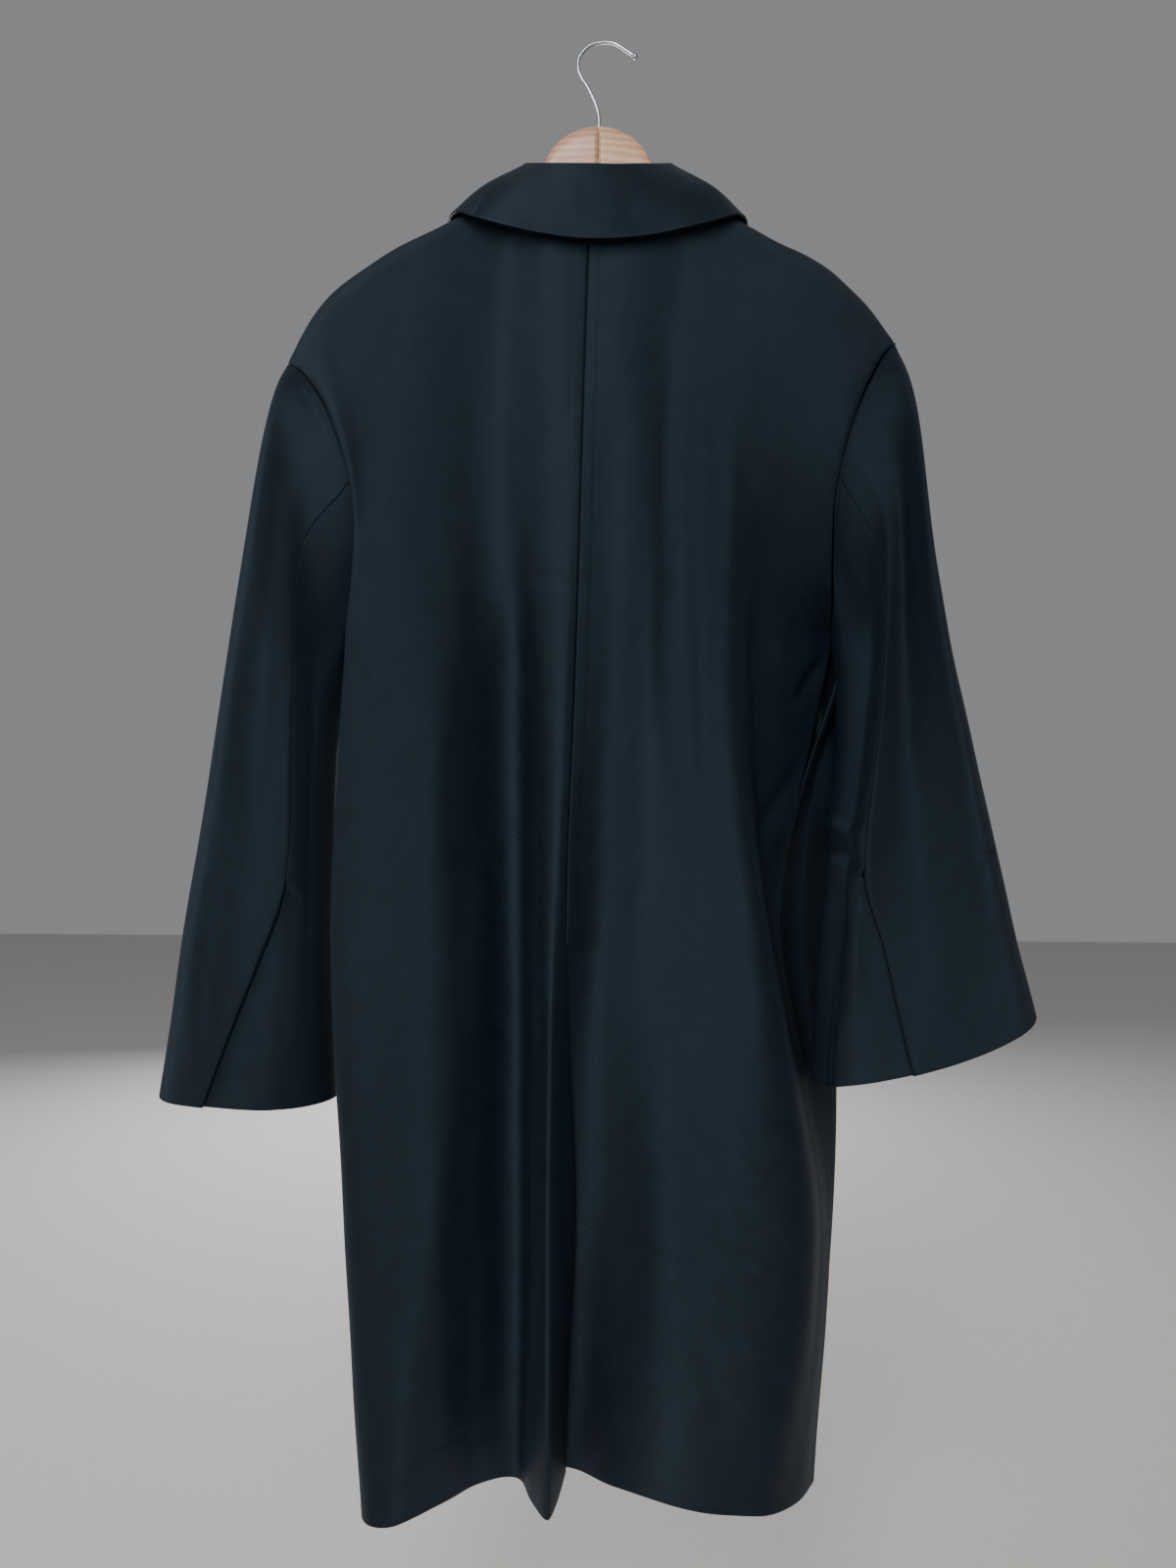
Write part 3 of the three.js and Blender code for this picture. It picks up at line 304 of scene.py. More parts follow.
def sleeve_ring(side, section, turn):
    """Points round a sleeve's section; a turn of 0 is outermost, 0.2 is the back's ridge."""
    if section == 0:
        return armhole_point(side, turn)
    out_x, out_z, in_x, in_z, in_y, ridge_x, ridge_y, front, hollow, sag = SLEEVE[side][section - 1]
    wide = out_x - in_x
    places = [(out_x, 0.1 * ridge_y), (mix(out_x, ridge_x, 0.14), 0.68 * ridge_y),
              (mix(out_x, ridge_x, 0.56), hollow * ridge_y), (ridge_x, ridge_y),
              (mix(ridge_x, in_x, 0.7), mix(in_y, ridge_y, 0.78)), (in_x, in_y),
              (in_x + 0.16 * wide, mix(in_y, front, 0.82)), (in_x + 0.5 * wide, front),
              (out_x - 0.12 * wide, 0.7 * front)]
    whole = np.mod(turn, 1)
    x = through(SLEEVE_TURNS, [p[0] for p in places], whole, 1)
    y = through(SLEEVE_TURNS, [p[1] for p in places], whole, 1)
    share = (out_x - x) / wide
    return np.stack([x, y, mix(out_z, in_z, share) - sag * np.sin(np.pi * share)], axis=-1)


def sleeve_surface(side, turns, sections):
    """Outer face of a sleeve; turns is a grid [section][column]."""
    count = len(SLEEVE[side]) + 1
    rings = np.array([sleeve_ring(side, k, turns) for k in range(count)])
    grid = np.zeros(turns.shape + (3,))
    for j, section in enumerate(sections):
        rows = rings[:, j].reshape(count, -1)
        at = np.full(rows.shape[1], section)
        grid[j] = through(np.arange(count), rows, at).reshape(turns.shape[1], 3)
    return grid


def collar_surface(around, down):
    """The collar as a grid [down][around], from the neck seam over the fold to the edge."""
    rows = np.array(COLLAR, float)
    knots = np.concatenate([-rows[:0:-1, 0], rows[:, 0]])

    def column(k, odd=False):
        own = rows[:, k]
        return through(knots, np.concatenate([(-1 if odd else 1) * own[:0:-1], own]), around)

    neck_x, neck_side = np.abs(column(1, True)), column(2)
    bow, settling = column(9), column(10)
    neck_z = top_edge_z("left", neck_x)
    neck_y = neck_side * (NECK_DEPTH - CLOTH) * rounding(NECK_Z - neck_z)
    sign = np.where(around >= 0, 1.0, -1.0)
    neck = np.stack([sign * (neck_x - 1), neck_y, neck_z + COLLAR_LIFT], axis=-1)
    fold = np.stack([column(3, True), column(4), column(5)], axis=-1)
    edge = np.stack([column(6, True), column(7), column(8)], axis=-1)
    out = edge - fold
    out[:, 2] = 0
    out = unit(out)
    drop = np.array([0, 0, FOLD_ROUND])
    inside = fold - 0.3 * FOLD_ROUND * out - drop
    outside = fold + 1.3 * FOLD_ROUND * out - drop
    middle = mix(outside, edge, 0.5) + out * bow[:, None]
    middle[:, 2] -= settling
    places = np.array([neck, inside, fold, outside, middle, edge])
    grid = np.zeros((len(down), len(around), 3))
    flat = places.reshape(len(places), -1)
    for j, d in enumerate(down):
        at = np.full(flat.shape[1], d)
        grid[j] = through(COLLAR_DOWN, flat, at).reshape(len(around), 3)
    return grid


# ---------------------------------------------------------------- creases


END_TAPER = 0.3  # the share of a crease's length over which it fades at each end


def crease_share(x, z, points, width):
    """Falloff round a line of (x, z) points, tapered to nothing at both of its ends."""
    pts = np.array(points, float)
    best = np.full(x.shape, 1e9)
    along = np.zeros(x.shape)
    lengths = run_lengths(pts)
    for k in range(len(pts) - 1):
        a, b = pts[k], pts[k + 1]
        d = b - a
        f = np.clip(((x - a[0]) * d[0] + (z - a[1]) * d[1]) / max(1e-9, d @ d), 0, 1)
        dist = np.hypot(x - a[0] - f * d[0], z - a[1] - f * d[1])
        near = dist < best
        best = np.where(near, dist, best)
        reached = lengths[k] + f * (lengths[k + 1] - lengths[k])
        along = np.where(near, reached / lengths[-1], along)
    taper = ease(along / END_TAPER) * ease((1 - along) / END_TAPER)
    return np.exp(-(best / width) ** 2) * taper


# Waves of the cloth's unevenness: turn per mm along x, y and z, phase, size.
DRAPE_WAVES = [(0.052, 0.021, 0.0071, 0.4, 0.55), (0.081, -0.033, 0.0113, 2.1, 0.35),
               (0.033, 0.047, 0.0172, 4.0, 0.4), (0.117, 0.052, -0.0151, 1.2, 0.2),
               (-0.046, 0.068, 0.0241, 5.3, 0.3), (0.021, 0.013, 0.0413, 3.3, 0.25),
               (0.151, 0.081, 0.0311, 0.9, 0.12)]


def drape(p):
    """Slow unevenness of hanging cloth, in mm, at world points in mm."""
    x, y, z = p[..., 0], p[..., 1], p[..., 2]
    total = np.zeros(x.shape)
    for kx, ky, kz, phase, size in DRAPE_WAVES:
        total += size * np.sin(kx * x + ky * y + kz * z + phase)
    return total


# Creases, listed one by one: each follows a line of (x, z) points in mm, x counted from the coat's
# middle to the wearer's left; "depth" is how far the cloth stands out (or in, below nothing),
# "width" how soon that fades. A "face" keeps a sleeve's crease to its back or its front.
CREASES = {
    "back": [
        # drape edge below the right underarm
        {"width": 6, "depth": -4.5, "line": [(-216, -568), (-197, -596), (-179, -626)]},
        # diagonal creases of the right side
        {"width": 6, "depth": -4, "line": [(-193, -663), (-169, -709), (-141, -756)]},
        {"width": 5, "depth": -3, "line": [(-203, -731), (-177, -768)]},
        {"width": 4, "depth": -2.2, "line": [(-153, -782), (-175, -784), (-200, -790)]},
        {"width": 9, "depth": 2.5, "line": [(-196, -695), (-174, -738), (-160, -759)]},
        # crest of the long right fold
        {"width": 8, "depth": 3.4,
         "line": [(-114, -295), (-117, -404), (-114, -522), (-113, -606), (-125, -741),
                  (-137, -824), (-144, -908), (-170, -1001)]},
        # foot of the long right fold
        {"width": 13, "depth": -10, "line": [(-147, -430), (-150, -600), (-160, -760), (-172, -900)]},
        # broad dip beside the long right fold, and the cloth that rises out of it
        {"width": 16, "depth": -3.4, "line": [(-58, -200), (-60, -390), (-62, -560), (-70, -720)]},
        {"width": 9, "depth": 2.4, "line": [(-88, -180), (-88, -360), (-89, -520), (-98, -760)]},
        # second dip, nearer the centre
        {"width": 10, "depth": -1.2, "line": [(-27, -487), (-35, -606), (-26, -776), (-30, -911)]},
        # the strip's side, shallow between the shoulders
        {"width": 24, "depth": 4, "line": [(60, -190), (61, -380), (62, -600)]},
        # long left trough
        {"width": 24, "depth": -5, "line": [(94, -280), (96, -460), (96, -640), (96, -860)]},
        {"width": 29, "depth": -9, "line": [(71, -420), (70, -760), (69, -1020), (68, -1420)]},
        # the right half falls back beside the vent before it climbs to the long right fold
        {"width": 36, "depth": -9, "line": [(-36, -480), (-36, -760), (-34, -1040), (-36, -1420)]},
        {"width": 42, "depth": 8,
         "line": [(-148, -640), (-156, -860), (-166, -1080), (-160, -1450)]},
        # left trough's far side
        {"width": 16, "depth": 1.6, "line": [(144, -456), (144, -658), (148, -861), (155, -1030)]},
        # arched crease above the left hem
        {"width": 3.5, "depth": -1.6,
         "line": [(157, -1276), (141, -1266), (122, -1261), (82, -1261)]},
        # small wrinkles of the lower right
        {"width": 8, "depth": -1.3, "line": [(-100, -1065), (-122, -1087), (-146, -1102)]},
        {"width": 8, "depth": -1.2, "line": [(-126, -1112), (-154, -1123), (-183, -1142)]},
        {"width": 7, "depth": 1.1, "line": [(-154, -1065), (-171, -1078), (-186, -1096)]},
        {"width": 9, "depth": -1.1, "line": [(-82, -1153), (-103, -1196), (-118, -1253)]},
        # soft pull below the left underarm
        {"width": 9, "depth": -1.6, "line": [(217, -557), (199, -608), (192, -693)]},
    ],
    "sleeve": [
        # crumple at the right elbow's back
        {"face": "back", "width": 6, "depth": 3, "line": [(-208, -721), (-225, -733), (-241, -745)]},
        {"face": "back", "width": 6, "depth": -3, "line": [(-206, -747), (-222, -753), (-238, -767)]},
        # creases inside the right cuff
        {"face": "back", "width": 5, "depth": -2.2,
         "line": [(-219, -777), (-216, -847), (-218, -913)]},
        {"face": "back", "width": 6, "depth": 1.8, "line": [(-230, -790), (-229, -908)]},
        # nick in the right sleeve's outer edge
        {"face": "back", "width": 5, "depth": -3, "line": [(-365, -748), (-341, -755)]},
        # soft folds of the left sleeve
        {"face": "back", "width": 12, "depth": -1.6, "line": [(307, -535), (316, -641), (324, -746)]},
        {"face": "back", "width": 10, "depth": 1.4, "line": [(284, -483), (294, -623), (302, -728)]},
        {"face": "back", "width": 8, "depth": -1.3, "line": [(337, -746), (350, -852), (356, -940)]},
        # soft folds of the right sleeve
        {"face": "back", "width": 12, "depth": -1.5,
         "line": [(-302, -531), (-317, -636), (-327, -741)]},
        {"face": "back", "width": 10, "depth": 1.2,
         "line": [(-324, -618), (-343, -741), (-361, -846)]},
        # creases inside the elbows
        {"face": "front", "width": 9, "depth": -2.6, "line": [(312, -616), (286, -632), (254, -664)]},
        {"face": "front", "width": 8, "depth": -2.1, "line": [(318, -662), (290, -684), (262, -700)]},
        {"face": "front", "width": 9, "depth": -2.4,
         "line": [(-304, -598), (-276, -622), (-246, -646)]},
        {"face": "front", "width": 8, "depth": -1.9,
         "line": [(-316, -648), (-288, -662), (-256, -694)]},
        {"face": "front", "width": 14, "depth": -1.5,
         "line": [(-340, -700), (-352, -790), (-372, -880)]},
        {"face": "front", "width": 14, "depth": -1.5,
         "line": [(338, -720), (352, -830), (366, -940)]},
    ],
    "front": [
        # fold that stands out below the right underarm
        {"width": 22, "depth": 13, "line": [(-216, -480), (-222, -600), (-230, -780)]},
        # long folds of the fronts
        {"width": 20, "depth": -3, "line": [(58, -610), (84, -850), (108, -1270)]},
        {"width": 22, "depth": -2.6, "line": [(-74, -560), (-104, -820), (-126, -1260)]},
        {"width": 15, "depth": -2.2, "line": [(138, -400), (112, -620), (96, -820)]},
        {"width": 15, "depth": -2.4, "line": [(-128, -390), (-104, -560), (-92, -780)]},
        {"width": 12, "depth": 1.6, "line": [(160, -900), (158, -1080), (146, -1290)]},
        # pulls from the closed buttons
        {"width": 7, "depth": -1.2, "line": [(24, -590), (66, -566), (104, -556)]},
        {"width": 8, "depth": -1.1, "line": [(-32, -612), (-70, -590), (-112, -582)]},
    ],
    "collar": [
        # uneven settling of the collar's fall
        {"width": 11, "depth": -0.8, "line": [(-38, -159), (-30, -184), (-25, -212)]},
        {"width": 12, "depth": -0.7, "line": [(78, -174), (61, -189), (43, -210)]},
        {"width": 10, "depth": 0.6, "line": [(18, -165), (23, -186), (21, -208)]},
    ],
}


FACE_SPLIT = (0, 16)  # the y, and the reach, over which a sleeve's back gives way to its front


def crease_depth(kind, world):
    total = np.zeros(world.shape[:-1])
    to_back = ease((world[..., 1] - FACE_SPLIT[0]) / FACE_SPLIT[1])
    share = {None: 1.0, "back": to_back, "front": 1 - to_back}
    for c in CREASES[kind]:
        total += c["depth"] * share[c.get("face")] * crease_share(
            world[..., 0], world[..., 2], c["line"], c["width"])
    return total


# ---------------------------------------------------------------- meshes


def add_object(name, data):
    """An object of a mesh, light or camera, in the scene."""
    obj = bpy.data.objects.new(name, data)
    bpy.context.scene.collection.objects.link(obj)
    return obj


def grid_normals(grid, outward):
    return unit(np.cross(np.gradient(grid, axis=1), np.gradient(grid, axis=0))) * outward


def grid_uv(grid):
    """Metre coordinates along the cloth: across each row from its middle, and down it."""
    across = np.linalg.norm(np.diff(grid, axis=1), axis=2)
    u = np.concatenate([np.zeros((grid.shape[0], 1)), np.cumsum(across, axis=1)], axis=1)
    u -= u[:, u.shape[1] // 2][:, None]
    down = np.linalg.norm(np.diff(grid, axis=0), axis=2)
    v = np.concatenate([np.zeros((1, grid.shape[1])), np.cumsum(down, axis=0)], axis=0)
    return np.stack([u, v], axis=-1) * MM


RIM_STEPS = 3  # rings of points round a shell's rounded rim
PANELS = {}  # each cloth piece's outer grid and its normals, in its own side's coordinates


def rim_loop(rows, cols):
    """The (row, column) places round a grid's edge, once round."""
    return ([(0, i) for i in range(cols - 1)] + [(j, cols - 1) for j in range(rows - 1)]
            + [(rows - 1, i) for i in range(cols - 1, 0, -1)]
            + [(j, 0) for j in range(rows - 1, 0, -1)])


def rim_outs(grid, loop, round_edges):
    """The way the rim swells at each of its places, at most one unit long."""
    rows, cols = grid.shape[:2]
    first_row, last_row = unit(grid[0] - grid[1]), unit(grid[-1] - grid[-2])
    first_col, last_col = unit(grid[:, 0] - grid[:, 1]), unit(grid[:, -1] - grid[:, -2])
    outs = []
    for j, i in loop:
        out = np.zeros(3)
        if j == 0:
            out = out + first_row[i] * round_edges[0]
        if j == rows - 1:
            out = out + last_row[i] * round_edges[2]
        if i == cols - 1:
            out = out + last_col[j] * round_edges[1]
        if i == 0:
            out = out + first_col[j] * round_edges[3]
        outs.append(out / max(np.linalg.norm(out), 1.0))
    return np.array(outs)


def shell_faces(rows, cols, places):
    """The quads of the outer grid, of the inner grid and of the rim between the two."""
    size, around = rows * cols, len(places)
    j, i = np.meshgrid(np.arange(rows - 1), np.arange(cols - 1), indexing="ij")
    a = (j * cols + i).ravel()
    outer = np.stack([a, a + 1, a + cols + 1, a + cols], axis=1)
    chain = [places] + [2 * size + k * around + np.arange(around) for k in range(RIM_STEPS)]
    chain.append(places + size)
    rims = [np.stack([np.roll(p, -1), p, q, np.roll(q, -1)], axis=1)
            for p, q in zip(chain, chain[1:])]
    return outer, outer[:, ::-1] + size, np.concatenate(rims)


def cloth_mesh(name, points, faces, uvs, slots):
    """A smooth mesh of quads with the cloth's own coordinates; points in millimetres."""
    mesh = bpy.data.meshes.new(name)
    mesh.vertices.add(len(points))
    mesh.vertices.foreach_set("co", (points * MM).astype(np.float32).ravel())
    mesh.loops.add(faces.size)
    mesh.loops.foreach_set("vertex_index", faces.astype(np.int32).ravel())
    mesh.polygons.add(len(faces))
    mesh.polygons.foreach_set("loop_start", np.arange(0, faces.size, 4, dtype=np.int32))
    mesh.update(calc_edges=True)
    mesh.polygons.foreach_set("material_index", slots)
    mesh.polygons.foreach_set("use_smooth", np.ones(len(faces), bool))
    layer = mesh.uv_layers.new(name="cloth")
    layer.data.foreach_set("uv", uvs[faces.ravel()].astype(np.float32).ravel())
    mesh.validate()
    return mesh


def shell(name, grid, normals, facing, side="left", thick=CLOTH, round_edges=(1, 1, 1, 1),
          flip=False):
    """A closed cloth shell: outer grid, inner grid and rounded rims. Edges: first row, last
    column, last row, first column; 1 is a free rounded edge, less is flatter. The inside is
    coat cloth where facing says so, and satin elsewhere."""
    PANELS[name] = (grid, normals)
    rows, cols = grid.shape[:2]
    inner = grid - normals * thick
    uv = grid_uv(grid)
    loop = rim_loop(rows, cols)
    outs = rim_outs(grid, loop, round_edges)
    jj, ii = np.array(loop).T
    outer_rim, inner_rim = grid[jj, ii], inner[jj, ii]
    points = [grid.reshape(-1, 3), inner.reshape(-1, 3)]
    for k in range(1, RIM_STEPS + 1):
        angle = math.pi * k / (RIM_STEPS + 1)
        points.append((outer_rim + inner_rim) / 2 + (outer_rim - inner_rim) / 2 * math.cos(angle)
                      + outs * thick / 2 * math.sin(angle))
    points = np.concatenate(points)
    if side == "right":
        points[:, 0] *= -1
    points[:, 0] += COAT_X
    uvs = np.concatenate([uv.reshape(-1, 2)] * 2 + [uv[jj, ii]] * RIM_STEPS)
    outer_faces, inner_faces, rim_faces = shell_faces(rows, cols, jj * cols + ii)
    faces = np.concatenate([outer_faces, inner_faces, rim_faces])
    # Columns crossed with rows face outward on the left, unless the piece is flipped.
    if flip == (side == "left"):
        faces = faces[:, ::-1]
    slots = np.zeros(len(faces), np.int32)
    slots[len(outer_faces):2 * len(outer_faces)] = ~facing[:-1, :-1].ravel()
    return add_object(name, cloth_mesh(name, points, faces, uvs, slots))


# ---------------------------------------------------------------- materials


TWILL_TURN = math.radians(63)
RIB_SCALE = 0.314  # a wave texture's scale for ribs one metre apart
WOOD_STRETCH = (7, 55, 55)  # grain runs along the arm, so x counts for less


def set_inputs(node, values):
    for key, value in values.items():
        node.inputs[key].default_value = value


def material(name):
    """A material, the makers of its nodes and of its links, and its shader."""
    made = bpy.data.materials.new(name)
    made.use_nodes = True
    tree = made.node_tree

    def node(kind, values=None, **settings):
        new = tree.nodes.new(f"ShaderNode{kind}")
        for key, value in settings.items():
            setattr(new, key, value)
        set_inputs(new, values or {})
        return new

    return made, node, tree.links.new, tree.nodes["Principled BSDF"]


def two_tones(ramp, low, dark, high, light):
    """Sets a colour ramp's two stops: a place and a colour each."""
    for stop, place, colour in zip(ramp.color_ramp.elements, (low, high), (dark, light)):
        stop.position = place
        stop.color = (*colour, 1)


def cloth_material(name, dark, light, rough, sheen, pitch, bump):
    """Twill with ribs a pitch apart in metres, uneven yarns and a slow mottling of its tone."""
    made, node, link, shader = material(name)
    uv = node("UVMap", uv_map="cloth")
    turn = node("Mapping", {"Rotation": (0, 0, TWILL_TURN)})
    ribs = node("TexWave", {"Scale": RIB_SCALE / pitch, "Distortion": 0.6, "Detail": 1.0},
                wave_type="BANDS", bands_direction="X")
    yarn = node("TexNoise", {"Scale": 900, "Detail": 2})
    cloud = node("TexNoise", {"Scale": 48, "Detail": 7, "Roughness": 0.68})
    weave = node("Math", {1: 0.6}, operation="MULTIPLY_ADD")
    height = node("Bump", {"Strength": bump, "Distance": 0.00025})
    faint = node("Math", {1: 0.35}, operation="MULTIPLY")
    tone = node("Math", {1: 0.9}, operation="MULTIPLY_ADD")
    ramp = node("ValToRGB")
    two_tones(ramp, 0.5, dark, 0.96, light)
    link(uv.outputs["UV"], turn.inputs["Vector"])
    link(turn.outputs["Vector"], ribs.inputs["Vector"])
    link(uv.outputs["UV"], yarn.inputs["Vector"])
    link(uv.outputs["UV"], cloud.inputs["Vector"])
    link(yarn.outputs["Fac"], weave.inputs[0])
    link(ribs.outputs["Fac"], weave.inputs[2])
    link(weave.outputs["Value"], height.inputs["Height"])
    link(height.outputs["Normal"], shader.inputs["Normal"])
    link(weave.outputs["Value"], faint.inputs[0])
    link(cloud.outputs["Fac"], tone.inputs[0])
    link(faint.outputs["Value"], tone.inputs[2])
    link(tone.outputs["Value"], ramp.inputs["Fac"])
    link(ramp.outputs["Color"], shader.inputs["Base Color"])
    set_inputs(shader, {"Roughness": rough, "Sheen Weight": sheen, "Sheen Roughness": 0.45,
                        "Sheen Tint": (0.35, 0.55, 0.85, 1), "Specular IOR Level": 0.4,
                        "Specular Tint": (0.5, 0.75, 1.0, 1)})
    return made


def wood_material(name, dark, light, shift, turn):
    """Lacquered wood; shift and turn give each half of the hanger grain of its own."""
    made, node, link, shader = material(name)
    place = node("TexCoord")
    scale = node("Mapping", {"Location": (shift, 0.3, shift), "Rotation": (0, turn, 0),
                             "Scale": WOOD_STRETCH})
    rings = node("TexWave", {"Scale": 0.9, "Distortion": 5, "Detail": 3},
                 wave_type="BANDS", bands_direction="Z")
    fibres = node("TexNoise", {"Scale": 22, "Detail": 4})
    blend = node("Mix", {"Factor": 0.4})
    bump = node("Bump", {"Strength": 0.15, "Distance": 0.0004})
    ramp = node("ValToRGB")
    two_tones(ramp, 0.02, dark, 0.92, light)
    link(place.outputs["Object"], scale.inputs["Vector"])
    link(scale.outputs["Vector"], rings.inputs["Vector"])
    link(scale.outputs["Vector"], fibres.inputs["Vector"])
    link(rings.outputs["Fac"], blend.inputs["A"])
    link(fibres.outputs["Fac"], blend.inputs["B"])
    link(blend.outputs["Result"], ramp.inputs["Fac"])
    link(ramp.outputs["Color"], shader.inputs["Base Color"])
    link(fibres.outputs["Fac"], bump.inputs["Height"])
    link(bump.outputs["Normal"], shader.inputs["Normal"])
    set_inputs(shader, {"Roughness": 0.42, "Coat Weight": 0.5, "Coat Roughness": 0.22})
    return made


def hard_material(name, colour, rough, metallic, bump):
    """A hard or plain surface, slightly uneven in tone and in roughness."""
    made, node, link, shader = material(name)
    place = node("TexCoord")
    noise = node("TexNoise", {"Scale": 260, "Detail": 4})
    ramp = node("ValToRGB")
    two_tones(ramp, 0, [c * 0.8 for c in colour], 1, [min(1, c * 1.15) for c in colour])
    span = node("MapRange", {"To Min": rough * 0.8, "To Max": rough * 1.3})
    link(place.outputs["Object"], noise.inputs["Vector"])
    link(noise.outputs["Fac"], ramp.inputs["Fac"])
    link(ramp.outputs["Color"], shader.inputs["Base Color"])
    link(noise.outputs["Fac"], span.inputs["Value"])
    link(span.outputs["Result"], shader.inputs["Roughness"])
    if bump:
        up = node("Bump", {"Strength": bump, "Distance": 0.0002})
        link(noise.outputs["Fac"], up.inputs["Height"])
        link(up.outputs["Normal"], shader.inputs["Normal"])
    set_inputs(shader, {"Metallic": metallic})
    return made


COAT = cloth_material("coat_twill", (0.0006, 0.0012, 0.0021), (0.0042, 0.0074, 0.0118),
                      rough=0.56, sheen=0.03, pitch=0.00095, bump=0.8)
LINING = cloth_material("lining_satin", (0.003, 0.0036, 0.005), (0.008, 0.0095, 0.013),
                        rough=0.38, sheen=0.05, pitch=0.0005, bump=0.15)
WOOD = {"left": wood_material("wood_left", (0.42, 0.2, 0.11), (0.6, 0.34, 0.22), 0.11, -0.35),
        "right": wood_material("wood_right", (0.44, 0.22, 0.11), (0.66, 0.41, 0.25), 0.67, 0.6)}
CHROME = hard_material("hook_chrome", (0.5, 0.52, 0.55), 0.24, 1.0, 0)
HORN = hard_material("button_horn", (0.006, 0.007, 0.009), 0.3, 0.0, 0.1)
THREAD = hard_material("thread_black", (0.02, 0.026, 0.034), 0.7, 0.0, 0.3)

# ---------------------------------------------------------------- cloth pieces


def spaced(knots, counts):
    """Values that divide each span between knots into its count of steps."""
    out = []
    for k in range(len(counts)):
        out.extend(np.linspace(knots[k], knots[k + 1], counts[k], endpoint=False))
    return np.array(out + [knots[-1]])


def seam_edge(values, low, high, step):
    """Adds close-set values beside the ends, so that a seam's rolled edge has faces."""
    extra = [values[0] + step * k for k in (0.25, 0.6)] if low else []
    extra += [values[-1] - step * k for k in (0.25, 0.6)] if high else []
    return np.array(sorted(set(values.tolist() + extra)))


def settle(grid, normals, side, kind, wave=1.0):
    """Moves a panel's points out or in by the drape and by the creases of its kind."""
    world = grid.copy()
    world[..., 0] *= 1 if side == "left" else -1
    push = wave * drape(world) + crease_depth(kind, world)
    return grid + normals * push[..., None]


def roll_seam(grid, normals, edge, depth=1.0, reach=1.8, swell=0.35, allowance=11.0, fade=3):
    """Rolls a seam edge under and lifts the pressed-open allowance beside it, sizes in mm."""
    axis = 1 if "column" in edge else 0
    g = grid if axis == 1 else np.swapaxes(grid, 0, 1)
    g = g if "first" in edge else g[:, ::-1]
    steps = np.linalg.norm(np.diff(g, axis=1), axis=2)
    dist = np.concatenate([np.zeros((g.shape[0], 1)), np.cumsum(steps, axis=1)], axis=1)
    c = np.clip(1 - dist / reach, 0, 1)
    push = -depth * (1 - np.sqrt(np.maximum(0, 1 - c * c)))
    push += swell * ease((allowance - dist) / fade)
    push = push if "first" in edge else push[:, ::-1]
    push = push if axis == 1 else push.T
    return grid + normals * push[..., None]


def coat_piece(obj, node):
    """Gives a cloth shell its materials, hangs it from the root body and hides the solid it stands in
    for.
    """
    obj.data.materials.append(COAT)
    obj.data.materials.append(LINING)
    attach(obj, "root")
    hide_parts(node)


def vent_tuck(at, level):
    return TUCK["depth"] * ease((level - VENT_TOP) / TUCK["over"]) * ease(1 - at / TUCK["reach"])


# Levels of the rows down a body panel: close together at the shoulder and at the vent's top.
BODY_ROWS = np.concatenate([
    spaced([0, 0.02, 0.14, 0.38, 1.02, 2], [3, 6, 10, 24, 34]),
    spaced([2, 3], [60])[1:], [3.01, 3.02, 3.03, 3.04], spaced([3.05, 5], [116])])
BODY_EDGES = {"back": (0.2, 0.2, 1, 0.6), "front": (0.2, 1, 1, 0.2)}
EDGE_STEP = {"body": 0.008, "sleeve": 0.006}  # in "at" or in turn, beside a seam's edge
# Where the coat's own cloth is turned in, so that the inside there isn't satin.
HEM_FACING = 4.86
CUFF_FACING = 4.7
FRONT_FACING = 1.72
VENT_FACING = 0.2
CUFF_LAP_OVER = 0.3  # levels over which the cuff's lap comes to its width
SEAM_END = 0.05  # levels over which the centre seam's roll ends at the vent

# Passes that soften a back's folds across the cloth, and each pass's share at each level.
SOFTEN_PASSES = 110
SOFTEN = [(0, 1), (1.2, 0.8), (2, 0.22), (3, 0.06), (5, 0.04)]


def soften(grid, rows):
    """Evens a panel's folds out across the cloth, most where it hangs from the shoulders."""
    share = np.interp(rows, [r[0] for r in SOFTEN], [r[1] for r in SOFTEN])[:, None, None]
    grid = grid.copy()
    for _ in range(SOFTEN_PASSES):
        grid[:, 1:-1] += share * ((grid[:, :-2] + grid[:, 2:]) / 2 - grid[:, 1:-1]) / 2
    return grid


def body_panel(side, front):
    part = "front" if front else "back"
    if front:
        ats = seam_edge(spaced([1, 1.28, 1.67, 2], [24, 26, 24]), True, False, EDGE_STEP["body"])
    else:
        ats = seam_edge(spaced([0, 0.16, 0.48, 0.82, 1], [24, 34, 40, 22]), True, True,
                        EDGE_STEP["body"])
    rows = BODY_ROWS
    grid = body_surface(side, ats, rows, front)
    if not front:
        grid = soften(grid, rows)
    normals = grid_normals(grid, 1)
    if side == "right" and not front:
        sink = np.array([vent_tuck(ats, level) for level in rows])
        grid = grid - normals * sink[..., None]
    grid = settle(grid, normals, side, part)
    normals = grid_normals(grid, 1)
    grid = roll_seam(grid, normals, "first column" if front else "last column")
    if not front:
        sewn = ease((VENT_TOP - rows) / SEAM_END)[:, None, None]
        grid = mix(grid, roll_seam(grid, normals, "first column"), sewn)
    grid = roll_seam(grid, normals, "first row", swell=0)
    facing = np.zeros(grid.shape[:2], bool)
    facing[rows > HEM_FACING] = True
    if front:
        facing[:, ats > FRONT_FACING] = True
    else:
        facing[np.ix_(rows > VENT_TOP, ats < VENT_FACING)] = True
    return shell(f"coat_{part}_{side}", grid, normals, facing, side, round_edges=BODY_EDGES[part])


